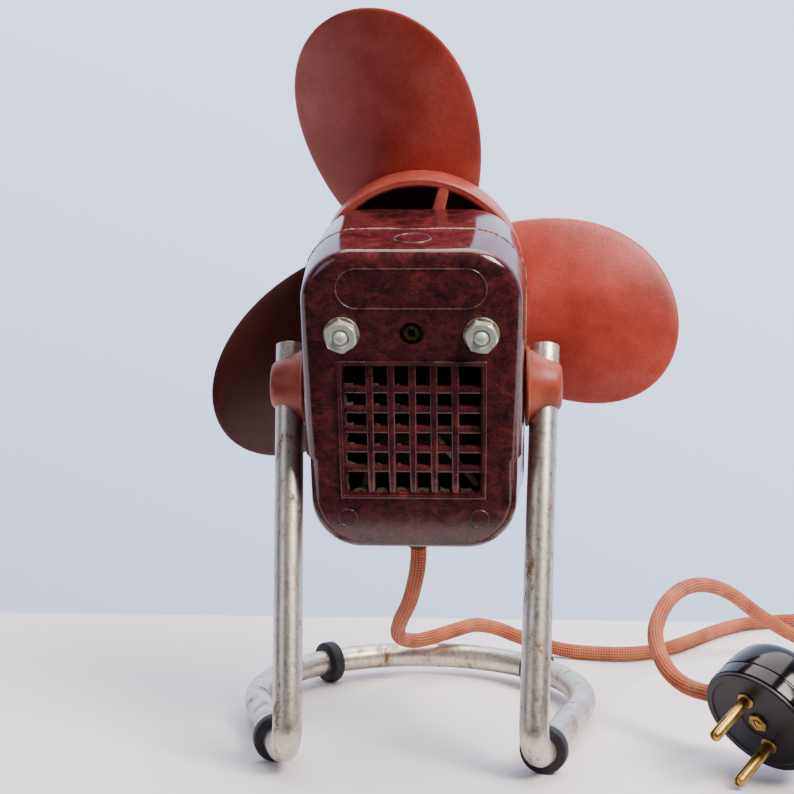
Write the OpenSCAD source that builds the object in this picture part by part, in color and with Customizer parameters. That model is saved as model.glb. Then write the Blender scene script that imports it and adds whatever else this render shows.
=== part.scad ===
// Small desk fan: a two-shell head with a rubber impeller, tilting between the two
// ends of a bent tube stand on rubber bushes, with its braided cord and round plug.
// Frame: millimetres, +Z up, +Y the way the fan blows, origin on the floor straight
// below the middle of the tilt axis. Head pieces are drawn level, with the tilt axis
// along X through their own origin, and in_head() tips them into place.

/* [Stand] */
// Outside diameter of the stand tube
tube_d = 10; // [8:0.5:12]
// Wall of the stand tube
tube_wall = 1; // [0.8:0.1:2]
// Height of the tilt axis above the floor
axis_h = 128.5; // [115:0.5:160]
// Distance between the two legs at the floor
foot_span = 81.6; // [76:0.2:100]
// Distance between the two legs at the tilt axis
axis_span = 90.2; // [89:0.2:100]
// How far the feet stand behind the tilt axis
foot_setback = 45; // [30:0.5:70]
// Length of leg above the tilt axis
leg_over = 15; // [15:0.5:30]
// Bend radius of the tube where a leg meets the floor
foot_bend = 8; // [7.5:0.5:16]
// Radius of the floor loop's centreline
loop_r = 61.5; // [50:0.5:75]
// Distance of the floor loop's centre in front of the tilt axis
loop_y = 32; // [20:0.5:50]

/* [Floor rings] */
// Outside diameter of a rubber floor ring
ring_d = 16.4; // [14:0.2:22]
// Width of a rubber floor ring
ring_w = 5; // [3:0.5:8]
// Depth of the flat worn on the bottom of a ring
ring_wear = 0.35; // [0.1:0.05:0.6]
// Distance of the right front ring from the end of its leg's bend
ring_right_at = 2.6; // [2.6:0.2:20]
// Distance of the left front ring from the end of its leg's bend
ring_left_at = 10.6; // [2.6:0.2:20]
// Angle of the left rear ring round the loop, from the side towards the front
ring_rear_angle = 50; // [30:1:80]
// Angle of the right rear ring, likewise
ring_right_angle = 42; // [30:1:80]

/* [Rubber bushes] */
// Diameter of a bush at the housing
bush_d = 28.4; // [22:0.2:34]
// Diameter of a bush at its outer end
bush_tip_d = 16.4; // [14:0.2:20]
// Rubber left outside the tube at the bush's outer end
bush_end = 1.3; // [0.8:0.1:3]
// Diameter of the bush's neck in the housing wall
neck_d = 18; // [12:0.5:22]
// Diameter of the flange that keeps the bush in the housing
flange_d = 25; // [22:0.5:28]
// Thickness of that flange
flange_t = 3.2; // [2:0.2:4]

/* [Housing] */
// Width of the housing
body_w = 76.4; // [72:0.2:84]
// Height of the housing above the tilt axis
body_up = 57; // [50:0.5:70]
// Depth of the housing below the tilt axis
body_down = 50.5; // [46:0.5:65]
// Length of the rear shell, from the parting line to the rear face
rear_len = 28.7; // [26:0.1:36]
// Length of the front shell, from the parting line to the front face
front_len = 31.6; // [28:0.1:40]
// Radius of the housing's corners, seen from behind
corner_r = 18; // [10:0.5:22]
// Rounding of the edge round each end face
edge_r = 4; // [2:0.5:5]
// Wall thickness of the shells
wall = 3; // [2.5:0.1:4]
// Thickness of the seal between the shells
seal_t = 0.8; // [0.4:0.1:1.5]
// How much narrower each side of a shell is at its end face than at the parting line
shell_draft = 1.5; // [0:0.1:2]
// How far the seal lies inside the shells' outline
seal_inset = 0.5; // [0.2:0.1:1]

/* [Rear face] */
// Width of the vent
vent_w = 46; // [40:0.5:52]
// Height of the vent
vent_h = 46; // [38:0.5:50]
// Height of the vent's middle, from the tilt axis
vent_z = -5.6; // [-10:0.2:0]
// Bars each way across the vent
vent_bars = 5; // [3:1:7]
// Spacing of the vent bars
bar_pitch = 7.2; // [5:0.1:8]
// Thickness of a vent bar
bar_w = 3; // [2:0.1:4]
// Height of the rim round the vent
rim_h = 0.8; // [0.4:0.1:1.5]
// Width of that rim
rim_w = 1.2; // [0.8:0.1:2]
// Width of the nameplate outline
plate_w = 50; // [40:0.5:56]
// Height of the nameplate outline
plate_h = 14; // [10:0.5:18]
// Height of the nameplate's middle, from the tilt axis
plate_z = 44.3; // [40:0.1:48]

/* [Motor] */
// Height of the shaft above the tilt axis
shaft_z = 28.8; // [24:0.2:32]
// Diameter of the shaft
shaft_d = 5; // [4:0.5:6]
// Radial running clearance of the shaft in its bearings
run_gap = 0.05; // [0.01:0.01:0.1]
// Diameter of the rotor
rotor_d = 26; // [22:0.5:28]
// Gap between the rotor and the stator
air_gap = 0.35; // [0.3:0.05:0.6]
// Width of the stator core
core_w = 60; // [56:0.5:62]
// Thickness of the lamination stack
core_t = 20; // [14:0.5:22]
// Outside diameter of a bearing bush
bearing_d = 11; // [9:0.5:13]
// Length of a bearing bush
bearing_len = 10; // [8:0.5:12]
// Thickness of a bearing bracket
bracket_t = 3; // [2:0.2:4]
// Distance between the two clamping studs
stud_span = 46.3; // [44:0.1:48]
// Diameter of a clamping stud
stud_d = 5; // [4:0.5:6]
// Width across the flats of a clamping nut
nut_af = 9.6; // [8:0.2:11]
// Thickness of a clamping nut
nut_t = 4.2; // [3:0.2:5]

/* [Impeller] */
// Radius of the impeller over its blade tips
blade_reach = 99; // [80:0.5:110]
// Outside radius of the impeller's hoop
hoop_r = 38.4; // [34:0.2:42]
// Radial thickness of the hoop
hoop_t = 3.4; // [2:0.2:5]
// Length of the hoop along the shaft
hoop_len = 15; // [6:0.5:18]
// Gap between the housing's front face and the impeller
impeller_gap = 1.8; // [1:0.1:4]
// Radius of the impeller's hub
hub_r = 10; // [8:0.5:13]
// Width of a spoke
spoke_w = 4; // [3:0.5:6]
// Thickness of a blade at its middle
blade_t = 3; // [2:0.2:4]
// Direction of the first blade, from the +X side
blade_angle = 108; // [0:1:120]
// Lean of a blade across its width, as a slope
blade_slope = 0.35; // [0:0.01:0.5]

/* [Pose] */
// Nose-up tilt of the head as it stands
head_tilt = 16; // [0:1:40]

/* [Cord] */
// Diameter of the braided cord
cord_d = 6; // [5:0.5:7]
// Diameter of the coil at the middle of its turns
coil_d = 64; // [60:1:80]
// Layers of turns in the coil
coil_layers = 3; // [2:1:4]
// Diameter of the plug
plug_d = 41; // [36:0.5:44]
// Length of the plug's body
plug_len = 21; // [18:0.5:30]
// Distance between the plug's pins
pin_span = 19; // [19:0.1:19]
// Diameter of a plug pin
pin_d = 4; // [4:0.1:4.8]
// Length of a plug pin outside the plug
pin_len = 19; // [17:0.5:19]

/* [Hidden] */
$fn = 64;
hull_fn = 32;
fit_gap = 0.3;

// Stand: the right leg's corner at the floor, its axis point, and directions
foot_h = ring_d / 2 - ring_wear;
foot = [foot_span / 2, -foot_setback, foot_h];
leg_dir = unit([(axis_span - foot_span) / 2, foot_setback, axis_h - foot_h]);
leg_len = norm([axis_span / 2, 0, axis_h] - foot) + leg_over;
foot_to_loop = norm([foot.x, foot.y - loop_y]);
touch_angle = atan2(foot.y - loop_y, foot.x) + acos(loop_r / foot_to_loop);
touch = [loop_r * cos(touch_angle), loop_y + loop_r * sin(touch_angle), foot_h];
run_dir = unit(touch - foot);
run_len = norm(touch - foot);
bend_half = acos(leg_dir * run_dir) / 2;
bend_tangent = foot_bend / tan(bend_half);
bend_centre = foot + unit(leg_dir + run_dir) * foot_bend / sin(bend_half);
bend_start = foot + leg_dir * bend_tangent;
foot_turn = 180 - 2 * bend_half;
bend_steps = 14;
loop_steps = 24;
pipe_sides = 24;
tube_bore = tube_d - 2 * tube_wall;

// Housing
side = body_w / 2;
inner_side = side - wall;
seal_half = seal_t / 2;
tube_x = axis_span / 2;
bush_end_x = tube_x + tube_d / 2 + bush_end;
flange_draft = shell_draft * flange_d / 2 / (min(rear_len, front_len) - wall - edge_r);
rear_in = -(rear_len - wall);
front_in = front_len - wall;
vent_top = vent_z + vent_h / 2;
first_bar = -bar_pitch * (vent_bars - 1) / 2;
mark_r = 3.2;
mark_x = 22.8;
mark_z = -38.2;
mark_depth = 0.4;
top_mark_r = 6.1;
top_mark_y = -12.3;
outline_w = 0.5;
peep_d = 8;

// Motor, along the shaft
core_half = core_t / 2;
core_top = shaft_z + 20;
core_low = -30;
core_bar = 12;
window_w = 36;
window_top = 6;
bore_r = rotor_d / 2 + air_gap;
bracket_y = core_half + 4;
bearing_y = bracket_y - 1;
bracket_w = stud_span + 10;
bracket_h = 14;
stud_hole_r = stud_d / 2 + 0.1;
sleeve_r = stud_d / 2 + 1.4;
boss_r = 5.2;
insert_r = 4;
insert_len = 8;
washer_r = 6;
washer_t = 0.8;
stud_proud = 1.4;
stud_back = rear_len + washer_t + nut_t + stud_proud;
stud_front = front_in - 1;
felt_t = 1.5;
thrust_t = 0.6;
ring_slot = 2.2;
coil_w = window_w - 2;
coil_wrap = 8;
cheek_t = 1.2;
coil_y = core_half + coil_wrap;
coil_z = core_low + core_bar / 2;

// Impeller, along the shaft
wheel_y = front_len + impeller_gap;
hub_len = 14;
web_at = 10.5;
web_t = 1.6;
bush_r = 5;
shaft_front = wheel_y + hub_len + 7;
blade_y = wheel_y + 16.6;
blade_mid = blade_reach / 2 + 0.4;
blade_half_l = blade_reach / 2;
blade_half_w = 32.6;
blade_shift = 5.5;
blade_egg = 0.17;
blade_twist = 0.0045;
blade_cup = 0.0075;
blade_rake = 0.1;
blade_edge = 0.55;
blade_steps = 40;
blade_rings = 7;

// Grommet and terminals in the bottom of the housing
grommet_r = 5.4;
grommet_out = 12;
grommet_in = 5;
grommet_lip = 1.6;
relief_r = cord_d / 2 + 0.9;
lead_d = 1.6;
lead_y = 0.5;
block_w = 18;
block_h = 8;
block_z = -41;

// Plug: middle of its pin face, the way its pins point and the line between them
plug_at = [115, -37, 19.6];
plug_dir = unit([-0.634, -0.596, -0.493]);
plug_across = unit(cross(plug_dir, cross([0.457, 0.225, -0.86], plug_dir)));
plug_side = cross(plug_dir, plug_across);
stem_d = pin_d - 0.8;
plug_entry_back = 11;
plug_entry = plug_at - plug_dir * plug_entry_back - plug_side * (plug_d / 2);

// Coil beyond the plug, standing on its tie
tie_t = 0.6;
coil_at = [216, 152];
coil_cols = 2;
coil_h = coil_layers * cord_d;
coil_in = coil_d / 2 - cord_d * coil_cols / 2;
coil_out = coil_d / 2 + cord_d * coil_cols / 2;

// Route of the cord: from the housing over the floor loop and along the floor to the
// coil, and from the coil back to the plug, in round numbers chosen by hand
cord_exit = head_point([0, 0, -body_down - grommet_out]);
cord_down = head_dir([0, 0, -1]);
drop_route = [
    [-1, 22, 56], [-4, 32, 44], [-8, 45, 34], [-10, 58, 26], [-9, 71, 20], [-4, 80, 17]
];
far_route = [
    [3, 87, 17], [11, 94, 18], [20, 103, 18.5], [29, 113, 15], [38, 120, 10], [49, 124, 5.5],
    [61, 123, 3], [76, 119, 3], [90, 120, 3], [104, 129, 3], [118, 146, 3], [132, 165, 3],
    [148, 180, 3], [168, 187, 3], [192, 191, 3]
];
near_route = [
    [200, 112, 10.5], [185, 117, 6], [171, 124, 6], [157, 129, 11], [142, 123, 21],
    [128, 106, 33], [114, 84, 41], [102, 62, 43.5], [93, 42, 41], [88, 26, 34], [90, 12, 26],
    [96, 2, 21.5]
];
tube_sides = 10;

function unit(v) = v / norm(v);
function head_dir(v) = [v.x, v.y * cos(head_tilt) - v.z * sin(head_tilt),
    v.y * sin(head_tilt) + v.z * cos(head_tilt)];
function head_point(p) = head_dir(p) + [0, 0, axis_h];

// A point on the bend under a leg, at angle a from the end of the leg's straight
function bend_point(a) =
    bend_centre + foot_bend * (unit(bend_start - bend_centre) * cos(a) - leg_dir * sin(a));

// A Catmull-Rom curve through the points, n steps to a span
function spline(p, n) = [
    for (i = [0 : len(p) - 2])
        let (a = p[max(i - 1, 0)], b = p[i], c = p[i + 1], d = p[min(i + 2, len(p) - 1)])
            for (k = [0 : n - 1])
                let (t = k / n)
                    (2 * b + (c - a) * t + (2 * a - 5 * b + 4 * c - d) * t * t
                        + (3 * b - a - 3 * c + d) * t * t * t) / 2,
    p[len(p) - 1]
];
function tangent(p, i) = unit(p[min(i + 1, len(p) - 1)] - p[max(i - 1, 0)]);
// Turns a frame's side vector so that it stays square to the next tangent
function square_to(v, t) = unit(v - t * (v * t));
function sides(p, v, i = 0) = i == len(p) ? [] :
    let (s = square_to(v, tangent(p, i))) concat([s], sides(p, s, i + 1));

// A closed tube of diameter d swept along the points, with flat ends square to ends
module sweep(p, d, first, last) {
    n = len(p);
    t = [for (i = [0 : n - 1]) i == 0 ? first : i == n - 1 ? last : tangent(p, i)];
    s = sides(p, [0.3, 0.2, 1]);
    s_end = [for (i = [0 : n - 1]) square_to(s[i], t[i])];
    rings = [for (i = [0 : n - 1]) for (k = [0 : tube_sides - 1])
        let (a = 360 * k / tube_sides, b = cross(t[i], s_end[i]))
            p[i] + (s_end[i] * cos(a) + b * sin(a)) * d / 2];
    skin = [for (i = [0 : n - 2]) for (k = [0 : tube_sides - 1])
        let (a = i * tube_sides + k, b = i * tube_sides + (k + 1) % tube_sides)
            [a, a + tube_sides, b + tube_sides, b]];
    ends = [[for (k = [0 : tube_sides - 1]) k],
        [for (k = [tube_sides - 1 : -1 : 0]) (n - 1) * tube_sides + k]];
    polyhedron(rings, concat(skin, ends));
}

// A pipe along the points, with one skin at diameter d and one at the bore
module pipe(p, d, bore) {
    n = len(p);
    m = pipe_sides;
    s = sides(p, [1, 0.1, 0]);
    rings = [for (r = [d / 2, bore / 2]) for (i = [0 : n - 1]) for (k = [0 : m - 1])
        let (a = 360 * k / m, t = tangent(p, i))
            p[i] + (s[i] * cos(a) + cross(t, s[i]) * sin(a)) * r];
    outer = [for (i = [0 : n - 2]) for (k = [0 : m - 1])
        let (a = i * m + k, b = i * m + (k + 1) % m) [a, a + m, b + m, b]];
    inner = [for (f = outer) [for (k = [3 : -1 : 0]) f[k] + n * m]];
    ends = [for (k = [0 : m - 1]) let (a = k, b = (k + 1) % m, c = (n - 1) * m)
        each [[a, b, b + n * m, a + n * m], [c + b, c + a, c + a + n * m, c + b + n * m]]];
    polyhedron(rings, concat(outer, inner, ends));
}

// Moves children into a frame with origin o, x axis ex and z axis ez
module framed(o, ex, ez) {
    ey = cross(ez, ex);
    multmatrix([[ex.x, ey.x, ez.x, o.x], [ex.y, ey.y, ez.y, o.y], [ex.z, ey.z, ez.z, o.z]])
        children();
}

// Moves children to o with their z axis along dir
module along(o, dir) {
    ez = unit(dir);
    framed(o, unit(cross(abs(ez.z) > 0.9 ? [0, 1, 0] : [0, 0, 1], ez)), ez) children();
}

module in_head() translate([0, 0, axis_h]) rotate([head_tilt, 0, 0]) children();

// A cylinder along the shaft's direction, from y0 to y1
module round_y(d, y0, y1, x = 0, z = 0)
    translate([x, y0, z]) rotate([-90, 0, 0]) cylinder(d = d, h = y1 - y0);

module ring_y(d, bore, y0, y1, x = 0, z = 0)
    difference() {
        round_y(d, y0, y1, x, z);
        round_y(bore, y0 - 1, y1 + 1, x, z);
    }

module box_y(w, y0, y1, z0, z1, x = 0)
    translate([x - w / 2, y0, z0]) cube([w, y1 - y0, z1 - z0]);

// Places children at both clamping studs
module at_studs() for (x = [-1, 1]) translate([x * stud_span / 2, 0, shaft_z]) children();

// ---- Stand ----

// One tube from the top of the right leg, round the floor loop, to the top of the left
module stand_tube() {
    half = concat([foot + leg_dir * leg_len],
        [for (k = [0 : bend_steps]) bend_point(k * foot_turn / bend_steps)], [touch]);
    loop = [for (k = [1 : loop_steps - 1])
        let (a = touch_angle + k * (180 - 2 * touch_angle) / loop_steps)
            [loop_r * cos(a), loop_y + loop_r * sin(a), foot_h]];
    back = [for (k = [len(half) - 1 : -1 : 0]) [-half[k].x, half[k].y, half[k].z]];
    color("#c9c3b8") pipe(concat(half, loop, back), tube_d, tube_bore);
}

module floor_ring(at, dir) {
    lip = 0.8;
    r0 = tube_d / 2;
    r1 = ring_d / 2;
    difference() {
        along(at, dir) rotate_extrude()
            polygon([[r0, -ring_w / 2], [r1 - lip, -ring_w / 2], [r1, -ring_w / 2 + lip],
                [r1, ring_w / 2 - lip], [r1 - lip, ring_w / 2], [r0, ring_w / 2]]);
        translate([at.x - ring_d, at.y - ring_d, -ring_d])
            cube([2 * ring_d, 2 * ring_d, ring_d]);
    }
}

module foot_rings() {
    left_foot = [-foot.x, foot.y, foot.z];
    left_dir = [-run_dir.x, run_dir.y, 0];
    color("#26262b") {
        floor_ring(foot + run_dir * (bend_tangent + ring_right_at), run_dir);
        floor_ring(left_foot + left_dir * (bend_tangent + ring_left_at), left_dir);
        for (a = [ring_right_angle, 180 - ring_rear_angle])
            floor_ring([loop_r * cos(a), loop_y + loop_r * sin(a), foot_h], [-sin(a), cos(a), 0]);
    }
}

// ---- Rubber bushes that carry the head ----

module trunnion_bush() {
    face = side + fit_gap;
    flange_x = inner_side - fit_gap - flange_draft;
    difference() {
        translate([0, 0, axis_h]) rotate([0, 90, 0]) rotate_extrude()
            polygon([[0, flange_x - flange_t], [flange_d / 2, flange_x - flange_t],
                [flange_d / 2, flange_x], [neck_d / 2, flange_x], [neck_d / 2, face],
                [bush_d / 2, face], [bush_d / 2 - 0.2, face + 1],
                [bush_tip_d / 2 + 1.8, tube_x], [bush_tip_d / 2, bush_end_x - 0.8],
                [bush_tip_d / 2 - 0.8, bush_end_x], [0, bush_end_x]]);
        along(foot, leg_dir) cylinder(d = tube_d, h = leg_len + 20);
    }
}

module right_trunnion_bush() color("#a2472f") trunnion_bush();
module left_trunnion_bush() color("#a2472f") mirror([1, 0, 0]) trunnion_bush();

// ---- Housing ----

// A block with round corners, from the parting line y0 to a rounded end face y1
module shell_block(y0, y1, inset) {
    r = max(corner_r - inset, 2);
    er = max(edge_r - inset, 0.8);
    len_y = abs(y1 - y0);
    turn = y1 > y0 ? -90 : 90;
    hull() for (x = [-1, 1]) for (z = [body_up - inset - r, -(body_down - inset - r)])
        translate([x * (side - inset - r), y0, z]) rotate([turn, 0, 0]) {
            cylinder(r = r, h = 1, $fn = hull_fn);
            translate([-x * shell_draft, 0, len_y - er]) rotate_extrude($fn = hull_fn)
                intersection() {
                    square([r, er]);
                    union() {
                        square([r - er, er]);
                        translate([r - er, 0]) circle(r = er, $fn = hull_fn);
                    }
                }
        }
}

// Half of the round cut in the side walls for the bush necks, and of the cord's hole
module parting_cuts() {
    neck_bore = neck_d + 2 * run_gap;
    for (x = [-1, 1]) translate([x * side, 0, 0]) rotate([0, 90, 0])
        cylinder(d = neck_bore, h = 3 * wall, center = true);
    translate([0, 0, -body_down - 1]) cylinder(r = grommet_r - grommet_lip, h = wall + 2);
}

module plate_outline(grow) {
    h = plate_h + 2 * grow;
    w = plate_w + 2 * grow;
    square([w - h, h], center = true);
    for (x = [-1, 1]) translate([x * (w - h) / 2, 0]) circle(d = h);
}

// A thin round line standing on the rear face
module ring_mark(r, x, z, y)
    ring_y(2 * r + outline_w, 2 * r - outline_w, y - mark_depth, y + 0.2, x, z);

module vent_grid() {
    bar_in = rear_in - 0.4;
    for (i = [0 : vent_bars - 1]) {
        at = first_bar + i * bar_pitch;
        box_y(bar_w, -rear_len + 0.3, bar_in, vent_z - vent_h / 2 - 0.5,
            vent_z + vent_h / 2 + 0.5, at);
        box_y(vent_w + 1, -rear_len + 1.1, bar_in, vent_z + at - bar_w / 2 + 0.2,
            vent_z + at + bar_w / 2 - 0.2);
    }
}

module rear_shell() {
    color("#47191c") difference() {
        union() {
            difference() {
                shell_block(-seal_half, -rear_len, 0);
                shell_block(-seal_half + 1, -rear_len + wall, wall);
                box_y(vent_w, -rear_len - 1, rear_in + 1, vent_z - vent_h / 2,
                    vent_z + vent_h / 2);
            }
            vent_grid();
            rear_trim();
            at_studs() round_y(2 * boss_r, -rear_len + 1, -bracket_y - bracket_t);
        }
        parting_cuts();
        at_studs() round_y(2 * stud_hole_r, -rear_len - 2, 0);
        round_y(peep_d, -rear_len - 2, rear_in + 1, 0, shaft_z);
    }
}

// Rim round the vent, nameplate outline and round moulding marks
module rear_trim() {
    y = -rear_len;
    difference() {
        box_y(vent_w + 4, y - rim_h, y + 1, vent_z - vent_h / 2 - 2, vent_top + 2);
        box_y(vent_w + 4 - 2 * rim_w, y - rim_h - 1, y + 2,
            vent_z - vent_h / 2 - 2 + rim_w, vent_top + 2 - rim_w);
    }
    translate([0, y + 0.2, plate_z]) rotate([90, 0, 0])
        linear_extrude(mark_depth + 0.2) difference() {
            plate_outline(0);
            plate_outline(-outline_w);
        }
    for (x = [-mark_x, mark_x]) ring_mark(mark_r, x, mark_z, y);
    translate([0, top_mark_y, body_up - 0.2]) difference() {
        cylinder(r = top_mark_r + outline_w / 2, h = mark_depth + 0.2);
        translate([0, 0, -1]) cylinder(r = top_mark_r - outline_w / 2, h = 3);
    }
}

module front_shell() {
    slots = 10;
    slot_in = 14;
    slot_out = 25;
    slot_w = 3.2;
    lead = 6;
    color("#47191c") difference() {
        union() {
            difference() {
                shell_block(seal_half, front_len, 0);
                shell_block(seal_half - 1, front_len - wall, wall);
            }
            at_studs() round_y(2 * boss_r, bracket_y + bracket_t, front_len - 1);
            ring_y(2 * (slot_in - 1), 2 * (slot_in - 1) - 3, front_in - 2, front_len - 1, 0, shaft_z);
        }
        parting_cuts();
        at_studs() {
            round_y(2 * stud_hole_r, 0, stud_front + 0.2);
            round_y(2 * insert_r, stud_front - insert_len, stud_front);
        }
        round_y(bearing_d + 3, 0, front_len + 1, 0, shaft_z);
        translate([0, 0, shaft_z]) for (i = [0 : slots - 1])
            rotate([0, i * 360 / slots + 18, 0])
                box_y(slot_w, front_in - lead, front_len + 1, slot_in, slot_out);
    }
}

module body_outline(inset) {
    r = corner_r - inset;
    w = side - inset;
    up = body_up - inset;
    down = body_down - inset;
    translate([-w, -down + r]) square([2 * w, up + down - 2 * r]);
    translate([-w + r, -down]) square([2 * w - 2 * r, up + down]);
    for (x = [-w + r, w - r]) for (z = [up - r, -down + r]) translate([x, z]) circle(r = r);
}

module shell_seal() {
    color("#8a7a66") difference() {
        translate([0, seal_half, 0]) rotate([90, 0, 0]) linear_extrude(seal_t)
            difference() {
                body_outline(seal_inset);
                body_outline(wall);
            }
        parting_cuts();
    }
}

// ---- Clamping studs ----

module clamp_studs() {
    tip = 0.8;
    color("#b9b9ae") at_studs() {
        round_y(stud_d, -stud_back + tip, stud_front);
        translate([0, -stud_back, 0]) rotate([-90, 0, 0])
            cylinder(d1 = stud_d - 2 * tip, d2 = stud_d, h = tip);
    }
}

module stud_inserts()
    color("#b08d4a") at_studs() ring_y(2 * insert_r, stud_d, stud_front - insert_len, stud_front);

module stud_sleeves()
    color("#a8a8a4") at_studs() for (y = [-bracket_y, core_half])
        ring_y(2 * sleeve_r, stud_d, y, y + bracket_y - core_half);

module clamp_washers()
    color("#cfcfc4") at_studs()
        ring_y(2 * washer_r, stud_d, -rear_len - washer_t, -rear_len);

module clamp_nuts() {
    y = -rear_len - washer_t;
    color("#d6d8cc") at_studs() difference() {
        intersection() {
            translate([0, y, 0]) rotate([90, 0, 0])
                cylinder(d = nut_af / cos(30), h = nut_t, $fn = 6);
            translate([0, y, 0]) rotate([90, 0, 0])
                cylinder(d1 = nut_af + 2 * nut_t, d2 = nut_af - 0.3, h = nut_t);
        }
        round_y(stud_d, y - nut_t - 1, y + 1);
    }
}

// ---- Motor ----

module core_outline() {
    difference() {
        translate([-core_w / 2, core_low]) square([core_w, core_top - core_low]);
        translate([-window_w / 2, core_low + core_bar])
            square([window_w, window_top - core_low - core_bar]);
    }
}

// Places children at the two shading rings, on opposite pole tips
module at_shading() for (a = [0, 180]) translate([0, 0, shaft_z]) rotate([0, a + 40, 0])
    children();

ring_in = bore_r + 1.5;
ring_out = bore_r + 6;

module stator_core() {
    color("#6d6f70") difference() {
        translate([0, core_half, 0]) rotate([90, 0, 0]) linear_extrude(core_t) core_outline();
        round_y(2 * bore_r, -core_half - 1, core_half + 1, 0, shaft_z);
        box_y(6, -core_half - 1, core_half + 1, window_top - 1, shaft_z - bore_r + 2);
        at_studs() round_y(2 * stud_hole_r, -core_half - 1, core_half + 1);
        at_shading() for (z = [ring_in, ring_out])
            box_y(ring_slot, -core_half - 1, core_half + 1, z - ring_slot / 2, z + ring_slot / 2);
    }
}

module shading_rings() {
    t = ring_slot;
    color("#b26a3e") at_shading() difference() {
        box_y(t, -core_half - t, core_half + t, ring_in - t / 2, ring_out + t / 2);
        box_y(t + 2, -core_half, core_half, ring_in + t / 2, ring_out - t / 2);
    }
}

module coil_bobbin() {
    cheek_in = coil_w / 2 - cheek_t;
    color("#2c2320") difference() {
        union() {
            for (x = [-1, 1]) box_y(cheek_t, -coil_y, coil_y, coil_z - core_bar / 2 - coil_wrap,
                coil_z + core_bar / 2 + coil_wrap, x * (cheek_in + cheek_t / 2));
            box_y(coil_w - 1, -core_half - 1.5, core_half + 1.5, coil_z - core_bar / 2 - 1.5,
                coil_z + core_bar / 2 + 1.5);
        }
        box_y(coil_w + 2, -core_half, core_half, coil_z - core_bar / 2, coil_z + core_bar / 2);
    }
}

module coil_winding() {
    w = coil_w - 2 * cheek_t;
    grow = coil_wrap - 0.6;
    color("#8d5a34") difference() {
        box_y(w, -core_half - grow, core_half + grow, coil_z - core_bar / 2 - grow,
            coil_z + core_bar / 2 + grow);
        box_y(w + 2, -core_half - 1.5, core_half + 1.5, coil_z - core_bar / 2 - 1.5,
            coil_z + core_bar / 2 + 1.5);
    }
}

// Varnished sleeves over the coil's two leads, behind the winding
module coil_leads() {
    y = -coil_y - 1.5;
    color("#d9c98f") {
        along([8, y, -12], [12, 0, -15]) cylinder(d = 2.4, h = 22);
        along([-14, y, -16], [-3, 0, -12]) cylinder(d = 2.4, h = 16);
    }
}

module bracket(y0, y1) {
    difference() {
        union() {
            box_y(bracket_w - bracket_h, y0, y1, shaft_z - bracket_h / 2, shaft_z + bracket_h / 2);
            for (x = [-1, 1])
                round_y(bracket_h, y0, y1, x * (bracket_w - bracket_h) / 2, shaft_z);
            round_y(bearing_d + 6, y0, y1, 0, shaft_z);
        }
        round_y(bearing_d, y0 - 1, y1 + 1, 0, shaft_z);
        at_studs() round_y(stud_d, y0 - 1, y1 + 1);
    }
}

module rear_bracket() color("#9fa3a4") bracket(-bracket_y - bracket_t, -bracket_y);
module front_bracket() color("#9fa3a4") bracket(bracket_y, bracket_y + bracket_t);

module bearing(y0, y1)
    color("#b98a4c") ring_y(bearing_d, shaft_d + 2 * run_gap, y0, y1, 0, shaft_z);

module rear_bearing() bearing(-bearing_y - bearing_len, -bearing_y);
module front_bearing() bearing(bearing_y, bearing_y + bearing_len);

// Oil-soaked felt rings round the bearings, against the brackets
module bearing_felts() {
    y = bracket_y + bracket_t;
    color("#c8bda4") {
        ring_y(bearing_d + 4, bearing_d, y, y + felt_t, 0, shaft_z);
        ring_y(bearing_d + 4, bearing_d, -y - felt_t, -y, 0, shaft_z);
    }
}

// Short brass tube behind the peep hole, for oiling the rear bearing
module oil_tube() {
    y = -bearing_y - bearing_len;
    color("#c39a45") difference() {
        round_y(5, -rear_len + 1, y, 0, shaft_z);
        round_y(2.6, -rear_len, y + 1, 0, shaft_z);
    }
}

rotor_half = core_half + 0.5;
end_ring_t = 1.2;

module rotor()
    color("#7b7d80") ring_y(rotor_d, shaft_d, -rotor_half + end_ring_t, rotor_half - end_ring_t,
        0, shaft_z);

module rotor_end_rings()
    color("#c3c6c8") for (y = [-rotor_half, rotor_half - end_ring_t])
        ring_y(rotor_d - 1, shaft_d, y, y + end_ring_t, 0, shaft_z);

module motor_shaft()
    color("#b4b6b8") round_y(shaft_d, -bearing_y - bearing_len + 1, shaft_front, 0, shaft_z);

// Fibre washers on the shaft, beside the rotor
module thrust_washers()
    color("#6a4a33") for (y = [-rotor_half - thrust_t, rotor_half])
        ring_y(shaft_d + 4, shaft_d, y, y + thrust_t, 0, shaft_z);

// ---- Impeller ----

// A point of a blade: a is the angle round its egg-shaped outline, k runs from 0 at its
// middle to 1 at its edge, and face is -1 behind and 1 in front
function blade_point(a, k, face) =
    let (u = blade_shift + k * blade_half_w * cos(a) * (1 + blade_egg * sin(a)),
        v = blade_mid + k * blade_half_l * sin(a),
        thin = blade_t * (1 - (1 - blade_edge) * k * k) / 2)
        [u, blade_y - (blade_slope + blade_twist * (v - 60)) * u + blade_cup * u * u
            - blade_rake * (v - hoop_r) + face * thin, v];

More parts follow.
